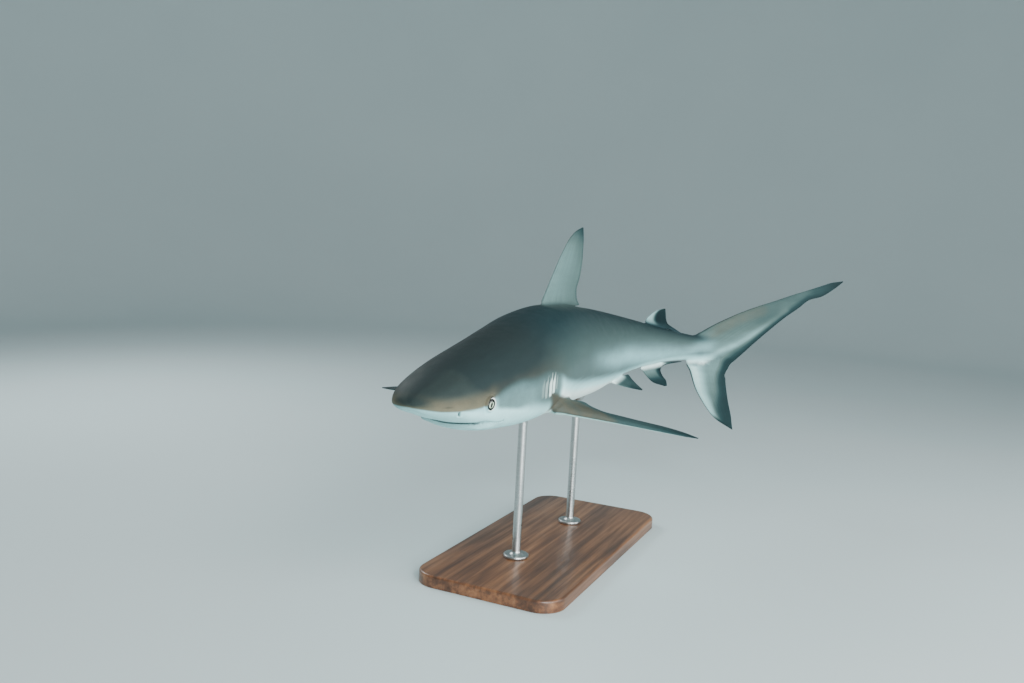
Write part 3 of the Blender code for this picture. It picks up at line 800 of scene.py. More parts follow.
def make_fin(name, cuts, place, per_cut, chord_steps):
    """A blade with a rounded section, and each vertex's share along its span and its chord."""
    places = np.linspace(0, len(cuts) - 1, (len(cuts) - 1) * per_cut + 1)
    lead_x, lead_z, trail_x, trail_z, half = (
        smooth(np.arange(len(cuts)), column, places)[:, None] for column in cuts.T)
    edge = FIN_EDGE / TOTAL_LENGTH
    share = (1 - np.cos(np.pi * np.arange(chord_steps + 1) / chord_steps)) / 2
    x = lead_x + (trail_x - lead_x) * share
    z = lead_z + (trail_z - lead_z) * share
    bulge = edge + (half - edge) * BLADE_FULLNESS * np.sqrt(share) * (1 - share)
    rings = np.concatenate([place(x, z, bulge), place(x, z, -bulge)[:, ::-1]], axis=1)
    bm = bmesh.new()
    rows = [[bm.verts.new(point) for point in ring] for ring in rings]
    skin_rows(bm, rows)
    bm.faces.new(rows[0][::-1])
    bm.faces.new(rows[-1])
    bmesh.ops.recalc_face_normals(bm, faces=bm.faces)
    if bm.calc_volume(signed=True) < 0:
        bmesh.ops.reverse_faces(bm, faces=bm.faces)
    span = np.repeat(places / (len(cuts) - 1), 2 * len(share))
    chord = np.tile(np.concatenate([share, share[::-1]]), len(rows))
    return bpy.data.objects.new(name, mesh_of(bm, name)), span, chord


# ---- one skin ----
# How far the fillet at each kind of fin's root reaches from the seam, metres.
FILLET = {DORSAL_1: 0.014, DORSAL_2: 0.008, ANAL_FIN: 0.008, PECTORALS: 0.016, PELVICS: 0.009,
          TAIL_UPPER: 0.018, TAIL_LOWER: 0.014}
FILLET_ROUNDS = 40
FILLET_WEIGHT = 0.6
FILLET_FULL = 0.25          # full weight up to this share of the reach
SEAM_SEARCH = 0.03
NEW_VERTEX = 2e-5           # a vertex this far from every old one was made by the union


def united(body, others):
    """The body and the fins as one closed mesh."""
    link(body)
    for other in others:
        modifier = body.modifiers.new("Join", "BOOLEAN")
        modifier.operation = "UNION"
        modifier.solver = "MANIFOLD"
        modifier.object = link(other)
    graph = bpy.context.evaluated_depsgraph_get()
    mesh = bpy.data.meshes.new_from_object(body.evaluated_get(graph))
    for thing in [body] + others:
        bpy.data.objects.remove(thing)
    bm = bmesh.new()
    bm.from_mesh(mesh)
    bmesh.ops.triangulate(bm, faces=[f for f in bm.faces if len(f.verts) > 4])
    bm.to_mesh(mesh)
    bm.free()
    return mesh


def relax(co, edges, weight, rounds):
    """Draw each vertex towards the middle of its neighbours, by its weight."""
    count = np.bincount(edges.ravel(), minlength=len(co)).astype(float)[:, None]
    for _ in range(rounds):
        total = np.zeros_like(co)
        for k in range(3):
            total[:, k] = (np.bincount(edges[:, 0], co[edges[:, 1], k], len(co))
                           + np.bincount(edges[:, 1], co[edges[:, 0], k], len(co)))
        co = co + weight[:, None] * (total / count - co)
    return co


class Skin:
    """The united mesh: at each vertex its kind of part, its places on a fin, its marks and its
    distance from the nearest seam between two parts."""

    def __init__(self):
        body, marks = make_body()
        sources = [get_points(body.data)]
        labels = [np.zeros((3, len(sources[0])))]
        fins = []
        for name, kind, cuts, place, per_cut, steps in FINS:
            fin, span, chord = make_fin(name, cuts, place, per_cut, steps)
            fins.append(fin)
            sources.append(get_points(fin.data))
            labels.append(np.stack([np.full(len(span), float(kind)), span, chord]))
        sources = np.concatenate(sources)
        self.mesh = united(body, fins)
        co = get_points(self.mesh)
        tree = tree_of(sources)
        found = [tree.find(point)[1:] for point in co]
        source = np.array([index for index, _ in found])
        is_seam = np.array([gap for _, gap in found]) > NEW_VERTEX
        self.kind, self.span, self.chord = np.concatenate(labels, axis=1)[:, source]
        pad = len(sources) - len(marks["mouth"])
        self.marks = {name: np.pad(values, (0, pad))[source] for name, values in marks.items()}
        seam_tree = tree_of(co[is_seam])
        self.away = np.array([seam_tree.find(point)[2] for point in co])
        self.co = self.filleted(co)
        set_points(self.mesh, self.co)
        self.mesh.shade_smooth()

    def filleted(self, co):
        """The places with the seams smoothed, each by the kind of fin that is nearest."""
        trees = {kind: tree_of(co[self.kind == kind]) for kind in FILLET}
        reach = np.zeros(len(co))
        for i in np.nonzero(self.away < SEAM_SEARCH)[0]:
            reach[i] = FILLET[min(trees, key=lambda kind: trees[kind].find(co[i])[2])]
        near = ease(1.0, FILLET_FULL, self.away / np.maximum(reach, 1e-6))
        edges = fetch(self.mesh.edges, "vertices", 2, np.int32)
        return relax(co, edges, np.where(reach > 0, near, 0.0) * FILLET_WEIGHT, FILLET_ROUNDS)


# ---- marks on the body ----
# The shore, between the dark back and the pale belly: station, height, half width of the change.
SHORE = shares(
    (0, -20, 10), (70, -34, 10), (144, -45, 10), (243, -48, 12), (405, -50, 14), (622, -40, 20),
    (800, 30, 35), (1000, 80, 60), (1250, 110, 70), (1500, 90, 90), (1800, 130, 60), (2050, 80, 60),
    (2300, -30, 50), (2700, -120, 45), (3100, -180, 45), (3500, -220, 50), (4000, -270, 50),
    (4500, -295, 55), (5000, -310, 60), (5600, -290, 70), (6200, -200, 80), (7000, -120, 60),
    (7600, -80, 60), (8200, 0, 60))
# The pale stripe along the flank: station, height, half width, strength.
STRIPE = shares(
    (3000, 80, 100, 0), (3500, 40, 110, 2400), (4000, -30, 120, 5500), (4500, -80, 130, 8600),
    (5000, -95, 135, 10000), (5500, -138, 140, 9700), (6000, -168, 152, 9200), (6500, -148, 132, 8000),
    (7000, -108, 106, 6000), (7400, 20, 100, 5000), (7800, 80, 120, 7000), (8200, 120, 140, 7000))
STRIPE_START = (0.29, 0.36)
CHEEK_FRONT, CHEEK_BACK = (0.075, 0.085), (0.222, 0.204)
CHEEK_TO_GILLS = (0.11, 0.155)
CHEEK_BORDER = (-0.0085, -0.185, 0.083, 0.004)  # height, slope from a station, rise to the gills
CHEEK_SOFT = (0.0032, 0.007, 0.85)     # fade below the border, its gain to the gills, share above
CHEEK_GREY = (0.69, 0.15, (0.145, 0.17))
SMALLEST_BACK = 0.004
DARKEST_BACK = 1.15


def cheek_of(station, up):
    """1 on the grey cheek between the eye and the gills."""
    to_gills = ease(*CHEEK_TO_GILLS, station)
    height, slope, start, rise = CHEEK_BORDER
    border = height + slope * (station - start) + rise * to_gills
    soft = CHEEK_SOFT[0] + CHEEK_SOFT[1] * to_gills
    cheek = ease(border - soft, border + CHEEK_SOFT[2] * soft, up)
    return cheek * ease(*CHEEK_FRONT, station) * ease(*CHEEK_BACK, station)


def paleness_of(station, up):
    """1 on the pale belly and the flank's stripe, 0 on the dark back."""
    height, soft = read(SHORE, station)
    belly = ease(1.0, -1.0, (up - height) / soft)
    middle, width, strength = read(STRIPE, station)
    stripe = strength * hump(up - middle, width) * ease(*STRIPE_START, station)
    grey = CHEEK_GREY[0] + CHEEK_GREY[1] * ease(*CHEEK_GREY[2], station)
    return np.maximum(belly * (1 - grey * cheek_of(station, up)), stripe)


def back_of(station, up):
    """0 at the widest line and below it, 1 on the middle of the back."""
    widest = body_size(WIDEST, station)
    reach = np.maximum(body_size(TOP, station) - widest, SMALLEST_BACK)
    return np.clip((up - widest) / reach, 0, DARKEST_BACK)


def darkness_of(station, up, away):
    """How dark the back is, darker upwards, partly its own countershading and partly painted shade over
    the top: even on the snout with painted shade along its top, darker on the nape, paler at the first
    dorsal's foot.
    """
    share = back_of(np.clip(station, 0.0, BODY[-1, 0]), up)
    # on the snout, painted shade along the top where the light falls off
    snout = 0.85 * (0.8 - share) * ease(0.25, 0.6, share) + 0.15 * ease(0.94, 1.0, share)
    nape = 0.32 * ease(0.215, 0.15, station) + 0.2 * ease(0.46, 0.2, station)
    darkness = share + snout * ease(0.115, 0.085, station) + nape * ease(0.045, 0.075, station)
    foot = 0.66 * ease(0.055, 0.004, away) * window(0.29, 0.305, 0.41, 0.44, station) * (up > 0.05)
    return darkness * (1 - foot)


# ---- marks on the tail fin: lines through (station, up) places ----
TAIL_START = 0.735
TAIL_TRAIL = shares(
    (9765, 1290), (9630, 1163), (9425, 1015), (9240, 949), (9060, 790), (8870, 631), (8491, 258),
    (8200, -55), (8110, -150), (8016, -256), (7976, -440), (7984, -525), (8062, -839), (8150, -1110),
    (8200, -1335))
TAIL_STREAK = shares(
    (7333, -231), (7488, -167), (7682, -66), (7887, 24), (8105, 114), (8321, 268), (8579, 460),
    (8880, 707))
TAIL_SHADE = shares((7758, 295), (8029, 384), (8291, 473), (8711, 643))
TAIL_BROWN = shares((7480, 172), (7754, 361), (8102, 559), (8440, 706))
TAIL_SEAM = shares(
    (7323, -283), (7454, -273), (7634, -201), (7819, -120), (7950, -125), (8110, -150), (8300, -300))


def from_line(places, x, z, steps=40):
    """Distance of (x, z) from a polyline."""
    t = np.linspace(0, len(places) - 1, steps * (len(places) - 1) + 1)
    nearest = np.full(len(x), np.inf)
    for px, pz in zip(*(np.interp(t, np.arange(len(places)), column) for column in places.T)):
        nearest = np.minimum(nearest, (x - px) ** 2 + (z - pz) ** 2)
    return np.sqrt(nearest)


def tail_seam(station):
    """Height of the border between the tail's upper and lower lobes."""
    return np.interp(station, TAIL_SEAM[:, 0], TAIL_SEAM[:, 1])


def tail_tone(x, z, kind, chord):
    """How dark the tail is: dark rims behind and ahead, a pale streak and a pale root below."""
    margin = from_line(TAIL_TRAIL, x, z)
    high_rim = ease(1.1, 0.0, margin / (0.0125 + 0.0095 * ease(0.84, 0.8, x)))
    low_rim = ease(1.1, 0.3, margin / (0.022 + 0.01 * ease(-0.065, -0.105, z)))
    streak = from_line(TAIL_STREAK, x, z)
    high = 0.6 - 0.22 * hump(streak, 0.0055) - 0.06 * hump(streak, 0.018) + 0.1 * ease(0.815, 0.87, x)
    high += 0.05 * hump(from_line(TAIL_SHADE, x, z), 0.009)
    high = np.maximum(high + (0.9 - high) * high_rim,
                      0.8 * ease(0.855, 0.935, x) + 0.15 * ease(0.935, 0.972, x))
    across = np.where(kind == TAIL_LOWER, chord, np.clip((x - TAIL_START) / 0.065, 0, 1))
    low = 0.09 + 0.42 * ease(0.12, 0.5, across) + 0.1 * ease(-0.03, -0.09, z)
    low = np.maximum(low + (0.9 - low) * low_rim, 0.92 * ease(-0.1, -0.124, z))
    seam = tail_seam(x)
    both = low + (high - low) * ease(seam - 0.0035, seam + 0.0035, z)
    edge = np.where(kind == TAIL_UPPER, 0.75 * ease(0.05, 0.0, chord), 0.85 * ease(0.03, 0.0, chord))
    return np.maximum(both, edge * (kind >= TAIL_UPPER))


def fin_tone(skin, under, station, up):
    """How dark the fins are, from 0, pale, to 1, nearly black; under is 1 on a paired fin's underside."""
    kind, span, chord = skin.kind, skin.span, skin.chord
    tip, trail = ease(0.62, 1.0, span), ease(0.55, 1.0, chord)
    dorsal = 0.52 + 0.04 * ease(0.45, 0.2, span) + 0.05 * ease(0.3, 0.8, chord) + 0.3 * tip
    tones = {
        DORSAL_1: dorsal + 0.12 * ease(0.9, 1.0, chord),
        # the second dorsal: pale low at the front, partly its own tone and partly a painted highlight
        # where its foot catches the light, dark above and behind
        DORSAL_2: 0.26 + 0.7 * ease(0.3, 0.52, 0.4 * span + 0.75 * chord),
        ANAL_FIN: 0.55 + 0.39 * np.maximum(ease(0.55, 0.85, span), ease(0.55, 0.9, chord)),
        PECTORALS: blend(under, 0.76 + 0.16 * ease(0.65, 1.0, span),
                         0.06 + 0.62 * ease(0.78, 1.0, span) + 0.3 * ease(0.86, 1.0, chord)),
        PELVICS: blend(under, 0.74 + 0.2 * np.maximum(tip, 0.8 * trail),
                       0.3 + 0.45 * np.maximum(tip, 0.5 * trail)),
    }
    tone = np.zeros(len(kind))
    for number, values in tones.items():
        tone = np.where(kind == number, values, tone)
    tail = on_tail(kind, station)
    tone[tail] = tail_tone(station[tail], up[tail], kind[tail], chord[tail])
    return np.clip(tone, 0.0, 1.0)


def on_tail(kind, station):
    return (kind >= TAIL_UPPER) | ((kind == BODY_KIND) & (station > TAIL_START))


# ---- materials ----
def srgb(red, green, blue):
    """An sRGB colour, 0 to 255, as linear light."""
    out = []
    for value in (red, green, blue):
        value /= 255
        out.append(value / 12.92 if value <= 0.04045 else ((value + 0.055) / 1.055) ** 2.4)
    return (*out, 1.0)


class Nodes:
    """Short names for the nodes of one material."""

    def __init__(self, name, **values):
        self.material = bpy.data.materials.new(name)
        self.material.use_nodes = True
        self.tree = self.material.node_tree
        self.shader = self.tree.nodes["Principled BSDF"]
        self.shade(**{"Specular_IOR_Level": 0.5, **values})

    def put(self, socket, value):
        if isinstance(value, bpy.types.NodeSocket):
            self.tree.links.new(value, socket)
        elif value is not None:
            socket.default_value = value

    def shade(self, **values):
        for key, value in values.items():
            self.put(self.shader.inputs[key.replace("_", " ")], value)

    def node(self, kind, output, inputs=(), **settings):
        """Add a node, set or link its inputs, by name or in order, and return one of its outputs."""
        node = self.tree.nodes.new("ShaderNode" + kind)
        for key, value in settings.items():
            setattr(node, key, value)
        for key, value in inputs.items() if isinstance(inputs, dict) else enumerate(inputs):
            self.put(node.inputs[key], value)
        return node.outputs[output]

    def attribute(self, name, output="Fac"):
        return self.node("Attribute", output, attribute_name=name)

    def position(self):
        return self.node("TexCoord", "Object")

    def stretch(self, vector, scale):
        return self.node("Mapping", "Vector", {"Vector": vector, "Scale": scale})

    def noise(self, vector, scale, detail=3.0, roughness=0.5):
        return self.node("TexNoise", "Fac", {"Vector": vector, "Scale": scale, "Detail": detail,
                                             "Roughness": roughness})

    def centred(self, *noise):
        """Noise about zero."""
        return self.math("SUBTRACT", self.noise(*noise), 0.5)

    def math(self, operation, *values, clamp=False):
        return self.node("Math", 0, values, operation=operation, use_clamp=clamp)

    def remap(self, value, low, high, to_low=0.0, to_high=1.0):
        inputs = {"Value": value, "From Min": low, "From Max": high, "To Min": to_low, "To Max": to_high}
        return self.node("MapRange", 0, inputs, interpolation_type="SMOOTHSTEP")

    def ramp(self, value, stops):
        colour = self.node("ValToRGB", "Color", (value,))
        elements = colour.node.color_ramp.elements
        while len(elements) < len(stops):
            elements.new(0.5)
        for element, (place, *shade) in zip(elements, stops):
            element.position = place
            element.color = srgb(*shade)
        return colour

    def mix(self, share, a, b, blend="MIX"):
        return self.node("Mix", 2, {0: share, 6: a, 7: b}, data_type="RGBA", blend_type=blend)

    def bump(self, height, distance, strength=1.0, after=None):
        inputs = {"Height": height, "Distance": distance, "Strength": strength, "Normal": after}
        return self.node("Bump", "Normal", inputs)


# Ramps: place, then red, green and blue.
# the back's ramps darken upwards, partly countershading and partly painted shade over the top
HEAD_BACK = ((0.0, 92, 93, 80), (0.22, 66, 72, 65), (0.5, 58, 67, 64), (1.0, 38, 49, 50))
TRUNK_BACK = ((0.0, 83, 102, 102), (0.3, 70, 87, 86), (0.6, 56, 72, 72), (1.0, 31, 51, 55))
BELLY = ((0.0, 138, 183, 187), (0.5, 180, 228, 229), (1.0, 236, 255, 251))
FIN_TONES = ((0.0, 196, 230, 224), (0.22, 140, 178, 179), (0.42, 110, 141, 141), (0.6, 78, 98, 96),
             (0.8, 36, 59, 61), (1.0, 9, 26, 30))
# the eye's rings from the middle out: pale iris, black ring, then white, a painted reflection on the
# ball's rim
IRIS_AND_RIM_REFLECTION = ((0.0, 136, 150, 128), (0.42, 182, 198, 178), (0.47, 110, 122, 104), (0.5, 3, 4, 4),
        (0.86, 3, 4, 4), (0.9, 236, 246, 240), (1.0, 242, 250, 246))
WALNUT = ((0.2, 48, 28, 17), (0.42, 84, 52, 32), (0.58, 116, 76, 48), (0.8, 146, 102, 68))
# the last two are a pale that carries the painted highlight on the gill flaps, and a dark that carries
# painted shade in grooves and hollows and a few streaks
SAND, WARM_BROWN, PALE_AND_GLINT, SHADE_AND_STREAK_DARK = (103, 98, 79), (89, 81, 66), (214, 236, 230), (14, 26, 28)
# the first is painted shade under the lids' edge
LID_EDGE_SHADE, PUPIL, WOOD_PORE = (6, 8, 8), (5, 7, 8), (38, 22, 14)
STEELS = ((166, 168, 168), (196, 198, 197))
FLOORS = ((196, 212, 214), (206, 220, 221))
PUPIL_HALF = (0.21, 0.42)           # in the opening's half sizes
# Noise: how the vector is stretched, or one scale, then the detail.
CLOUDS, STREAKS, SPECKS, BLOTCHES = ((5, 14, 14), 4), ((9, 70, 70), 3), (260.0, 2), (38.0, 4)
DENTICLES = 1000.0


def skin_material():
    n = Nodes("reef_shark_skin", Specular_IOR_Level=0.09)
    spot = n.position()
    place, ray = n.attribute("place", "Vector"), n.attribute("ray", "Vector")
    cloud = n.centred(n.stretch(place, CLOUDS[0]), 1.0, CLOUDS[1])
    streak = n.centred(n.stretch(place, STREAKS[0]), 1.0, STREAKS[1])
    speck, rough = n.centred(spot, *SPECKS), n.centred(spot, *BLOTCHES)
    # the back darkens upwards, partly its own countershading and partly painted shade over the top, brown
    # over the head and slate behind it
    height = n.math("ADD", n.attribute("back"), n.math("MULTIPLY", cloud, 0.16))
    back = n.mix(n.attribute("trunk"), n.ramp(height, HEAD_BACK), n.ramp(height, TRUNK_BACK))
    wander = n.math("ADD", n.math("MULTIPLY", cloud, 0.22), n.math("MULTIPLY", rough, 0.2))
    pale = n.math("ADD", n.attribute("paleness"), n.math("MULTIPLY", n.attribute("border"), wander))
    body = n.mix(n.math("ADD", pale, 0.0, clamp=True), back, n.ramp(n.attribute("low"), BELLY))
    # the sandy band just above the shore on the snout
    sand = n.math("MULTIPLY", n.attribute("sand"), n.remap(rough, -0.28, 0.22, 0.55, 1.0))
    body = n.mix(sand, body, srgb(*SAND))
    tone = n.math("ADD", n.attribute("tone"), n.math("MULTIPLY", cloud, 0.1))
    tone = n.math("ADD", tone, n.math("MULTIPLY", n.centred(ray, 1.0, 2), 0.1))
    colour = n.mix(n.attribute("fin"), body, n.ramp(tone, FIN_TONES))
    warm = n.math("MULTIPLY", n.attribute("warm"), n.remap(rough, -0.25, 0.3, 0.55, 1.0))
    colour = n.mix(warm, colour, srgb(*WARM_BROWN))
    fleck = n.math("MULTIPLY_ADD", speck, 0.16, 1.0)
    veil = n.math("MULTIPLY_ADD", n.math("ADD", streak, rough), 0.2, fleck)
    colour = n.mix(1.0, colour, n.node("CombineColor", 0, (veil, veil, veil)), "MULTIPLY")
    # painted highlight on the gill flaps' edges, and the pale lids
    colour = n.mix(n.attribute("pale"), colour, srgb(*PALE_AND_GLINT))
    # painted shade in the mouth, nostrils, gill slits, lids' edge and socket, and thin dark streaks
    colour = n.mix(n.attribute("dark"), colour, srgb(*SHADE_AND_STREAK_DARK))
    denticle = n.node("TexVoronoi", "Distance", {"Vector": spot, "Scale": DENTICLES}, feature="F1")
    ribs = n.math("MULTIPLY", n.noise(ray, 1.0, 1), n.attribute("fin"))
    normal = n.bump(ribs, 0.0006, 0.5, after=n.bump(denticle, 0.0002, 0.35))
    n.shade(Base_Color=colour, Normal=normal, Roughness=n.remap(rough, -0.3, 0.3, 0.48, 0.62))
    return n.material


def eye_material():
    n = Nodes("shark_eye", Roughness=0.16, Coat_Weight=0.25, Coat_Roughness=0.03, Specular_IOR_Level=0.2)

    def radius_of(x, y, *halves):
        squares = [n.math("POWER", n.math("DIVIDE", v, half) if halves else v, 2.0)
                   for v, half in zip((x, y), halves or (1, 1))]
        return n.math("ADD", *squares)

    gaze = n.attribute("gaze", "Vector")
    x = n.node("SeparateXYZ", 0, (gaze,))
    y = x.node.outputs[1]
    a, b = n.math("ADD", x, EYE_LOOK[0]), n.math("ADD", y, EYE_LOOK[1])
    radius = n.math("SQRT", n.math("ADD", n.math("MULTIPLY", a, a), n.math("MULTIPLY", b, b)))
    fibre = n.centred(n.stretch(gaze, (9, 9, 9)), 1.0, 4)
    # pale iris, black ring and a painted reflection on the rim
    rings = n.ramp(n.math("MULTIPLY_ADD", fibre, 0.05, radius), IRIS_AND_RIM_REFLECTION)
    # painted shade under the lids' edge
    edge = n.math("SQRT", radius_of(x, y))
    rings = n.mix(n.remap(edge, 0.86, 0.94), rings, srgb(*LID_EDGE_SHADE))
    pupil = n.remap(radius_of(a, b, *PUPIL_HALF), 1.15, 0.85)
    n.shade(Base_Color=n.mix(pupil, rings, srgb(*PUPIL)))
    return n.material


def wood_material():
    n = Nodes("stand_walnut", Coat_Weight=0.25, Coat_Roughness=0.22)
    place = n.position()
    bend = n.centred(n.stretch(place, (2.2, 9, 9)), 1.0, 4)
    grain = n.noise(n.stretch(place, (3, 75, 75)), 1.0, 6, 0.6)
    pores = n.noise(n.stretch(place, (18, 700, 700)), 1.0, 2)
    colour = n.ramp(n.math("ADD", n.math("MULTIPLY", bend, 0.7), grain), WALNUT)
    colour = n.mix(n.remap(pores, 0.6, 0.74, 0.0, 0.6), colour, srgb(*WOOD_PORE))
    n.shade(Base_Color=colour, Normal=n.bump(pores, 0.0002, 0.3),
            Roughness=n.remap(grain, 0.3, 0.7, 0.44, 0.33))
    return n.material


def steel_material():
    n = Nodes("stand_steel", Metallic=1.0)
    place = n.position()
    brush = n.noise(n.stretch(place, (40, 40, 2600)), 1.0, 3)
    dull, bright = (srgb(*steel) for steel in STEELS)
    n.shade(Base_Color=n.mix(n.remap(brush, 0.3, 0.7), dull, bright), Normal=n.bump(brush, 0.00008, 0.5),
            Roughness=n.remap(n.noise(place, 14.0, 3), 0.3, 0.7, 0.24, 0.38))
    return n.material


def floor_material():
    n = Nodes("studio_floor", Roughness=0.85, Specular_IOR_Level=0.2)
    low, high = (srgb(*floor) for floor in FLOORS)
    n.shade(Base_Color=n.mix(n.noise(n.position(), 0.7, 3), low, high))
    return n.material


# ---- the pieces ----
def add_layer(mesh, name, values):
    """A number, or a vector in the last axis, at every vertex."""
    values = np.asarray(values, np.float32)
    kind, key = ("FLOAT_VECTOR", "vector") if values.ndim > 1 else ("FLOAT", "value")
    mesh.attributes.new(name, kind, "POINT").data.foreach_set(key, values.ravel())


def add_piece(name, mesh, material, slot, *nodes):
    mesh.materials.clear()
    mesh.materials.append(material)
    thing = link(bpy.data.objects.new(name, mesh))
    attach(thing, "root")
    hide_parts(*nodes)


FLESH = ("head", "lower_jaw", "gill_section", "trunk_front", "trunk_rear", "tail_stalk",
         "first_dorsal_fin", "second_dorsal_fin", "anal_fin", "pectoral_fin_left", "pectoral_fin_right",
         "pelvic_fin_left", "pelvic_fin_right", "caudal_fin_upper", "caudal_fin_lower")
FIN_FADE = {PECTORALS: 0.008, DORSAL_1: 0.012}      # how far a fin's colour fades in from its seam
OTHER_FADE = 0.022
RAY_SCALE = (46, 2.2, 7.0)                          # along the chord, the span and from fin to fin


def patch_of(skin, station, up, downward):
    """The dark brown patch around each pectoral fin's root, on the body and the fin: partly its own brown
    and partly painted shade where the fin meets the body.
    """
    front = station - 0.186 - 0.96 * (-0.0162 - up)
    roof = -0.0102 - 0.32 * (station - 0.1912) - up
    patch = ease(-0.006, 0.008, front) * ease(-0.002, 0.004, roof) * ease(0.262, 0.25, station)
    on_fin = (skin.kind == PECTORALS) * ease(-0.62, -0.4, downward)
    return patch * np.where(skin.kind == BODY_KIND, ease(-0.042, -0.034, up), on_fin)


def fin_share(skin, station, up):
    """1 where the fins' colours show and 0 where the body's do."""
    fade = np.full(len(station), OTHER_FADE)
    for kind, reach in FIN_FADE.items():
        fade[skin.kind == kind] = reach
    fin = (skin.kind > BODY_KIND) * ease(0.001, fade, skin.away)
    seam = tail_seam(station)
    below = ease(seam + 0.003, seam - 0.003, up)
    tail = below * ease(0.718, 0.742, station) + (1 - below) * ease(0.748, 0.78, station)
    return np.maximum(fin, tail * ((skin.kind == BODY_KIND) | (skin.kind >= TAIL_UPPER)))


def dark_shades_and_streaks(skin, station, left, up):
    """Painted shade in the mouth, nostrils, gill slits, lids' edge and socket, and three thin streaks."""
    marks = skin.marks
    dark = 0.92 * marks["mouth"] + 0.95 * marks["nostril"] + 0.6 * marks["gill"]
    dark += 0.66 * (marks["lid"] - marks["lid_low"])
    dark = np.maximum(dark, marks["socket"] * (1 - marks["fold"]))
    streak = 0.5 * hump((station - 0.74) / 0.01, 1.0) * hump((up + 0.0085) / 0.0035, 1.0) * (left > 0)
    on_stalk = (skin.kind == BODY_KIND) | (skin.kind >= TAIL_UPPER)
    seam = hump(from_line(TAIL_SEAM[:4], station, up), 0.002)
    streak += 0.55 * seam * on_stalk * ease(0.722, 0.732, station)
    snout = hump((station - 0.019) / 0.0035, 1.0) * hump((up + 0.0003) / 0.0008, 1.0)
    streak += snout * (skin.kind == BODY_KIND)
    return np.maximum(dark, 0.55 * streak)


def warmth_of(skin, station, up, above, under, patch):
    """How brown the head, the patches, the pectoral fins and the tail's upper edge are."""
    kind = skin.kind
    share = back_of(np.clip(station, 0.0, BODY[-1, 0]), up)
    head = 0.5 * ease(0.24, 0.14, station) * ease(0.0, 0.01, above) * ease(0.55, 0.12, share)
    pectoral = np.maximum(0.66 * ease(0.24, 0.05, skin.span) * (1 - under), 0.7 * patch)
    warm = np.where(kind == BODY_KIND, np.maximum(head, 0.7 * patch), 0.0)
    warm = np.where(kind == PECTORALS, pectoral, warm)
    brown = 0.4 * ease(0.014, 0.004, from_line(TAIL_BROWN, station, up)) * ease(0.748, 0.77, station)
    return np.where(on_tail(kind, station) & (kind != TAIL_LOWER), brown, warm)


def dress_skin():
    skin = Skin()
    mesh = skin.mesh
    mesh.name = "shark_skin"
    downward = vertex_normals(skin.co, triangles(mesh))[:, 2]
    station, left, up = LINE.find(skin.co)
    under = ease(-0.45, -0.8, downward) * np.isin(skin.kind, (PECTORALS, PELVICS))
    body = np.clip(station, 0.0, BODY[-1, 0])
    above = up - read(SHORE, body)[0]
    patch = patch_of(skin, station, up, downward)
    pale = paleness_of(body, up) * (1 - patch)
    deep = -0.007 - 0.013 * ease(0.04, 0.09, station)
    low = ease(0.002, deep, above) * (1 - 0.78 * cheek_of(station, up))
    throat = 0.14 * window(0.06, 0.08, 0.16, 0.2, station)
    sand = window(-0.0012, 0.0014, 0.001, 0.017, above) * window(0.003, 0.012, 0.067, 0.091, station)
    marks = skin.marks
    # painted highlight on the gill flaps' edges, and pale on the lids' fold and lower rear
    bright = 0.95 * marks["gill_glint"] + 0.8 * marks["fold"] + 0.6 * marks["lid_low"]
    layers = {
        "paleness": pale,
        "border": 4 * pale * (1 - pale),
        "back": darkness_of(station, up, skin.away) + 0.42 * patch,
        # under the head the belly is painted darker: painted shade where the lamps light the head more
        # than the trunk
        "low": low * (1 - 0.6 * ease(0.235, 0.175, station)) * (1 - throat),
        "trunk": ease(0.15, 0.26, station),
        "fin": fin_share(skin, station, up),
        "tone": fin_tone(skin, under, station, up),
        "place": np.stack([station, left, up], axis=1) * TOTAL_LENGTH,
        "ray": np.stack([skin.chord, skin.span, skin.kind], axis=1) * RAY_SCALE,
        "sand": 0.85 * sand,
        "pale": np.clip(bright, 0, 1),
        "dark": np.clip(dark_shades_and_streaks(skin, station, left, up), 0, 1),
        "warm": warmth_of(skin, station, up, above, under, patch),
    }
    for name, values in layers.items():
        add_layer(mesh, name, values)
    add_piece("shark_skin", mesh, skin_material(), "skin", *FLESH)


def dress_eye(side, word, material):
    eye = EYES[side]
    bm = bmesh.new()
    bmesh.ops.create_uvsphere(bm, u_segments=64, v_segments=40, radius=1.0)
    local = coordinates(bm.verts) * eye.half
    mesh = mesh_of(bm, "eyeball_" + word)
    set_points(mesh, eye.world(local))
    outward_normals(mesh, get_points(mesh), eye.middle)
    gaze = np.stack([*opening_places(local[:, 0], local[:, 1]), local[:, 2] / eye.half[2]], axis=1)
    add_layer(mesh, "gaze", gaze)
    add_piece("eyeball_" + word, mesh, material, "eyes", "eye_" + word)


BASE_SIZE = (0.8, 0.38, 0.03)
BASE_PLACE = (-0.15, 0.063)
BASE_CORNER = 0.06
BASE_EDGE = 0.006
ROD_RADIUS = 0.011
ROD_SIDES = 56
ROD_ROUNDING = 0.003
FOOT_RADIUS = 0.032
FOOT_HEIGHT = 0.008
FOOT_COVE = 0.006
PAD_RADIUS = 0.022
PAD_HEIGHT = 0.012
PAD_INTO_BODY = 0.012
PAD_CONE = (0.006, 0.004, 0.012)    # its side's height, the step in at its foot and the cone below it
GAP = 0.0003
SHARP_DEGREES = 35
ROD_STATIONS = {"stand_rod_front": 0.255, "stand_rod_rear": 0.43}


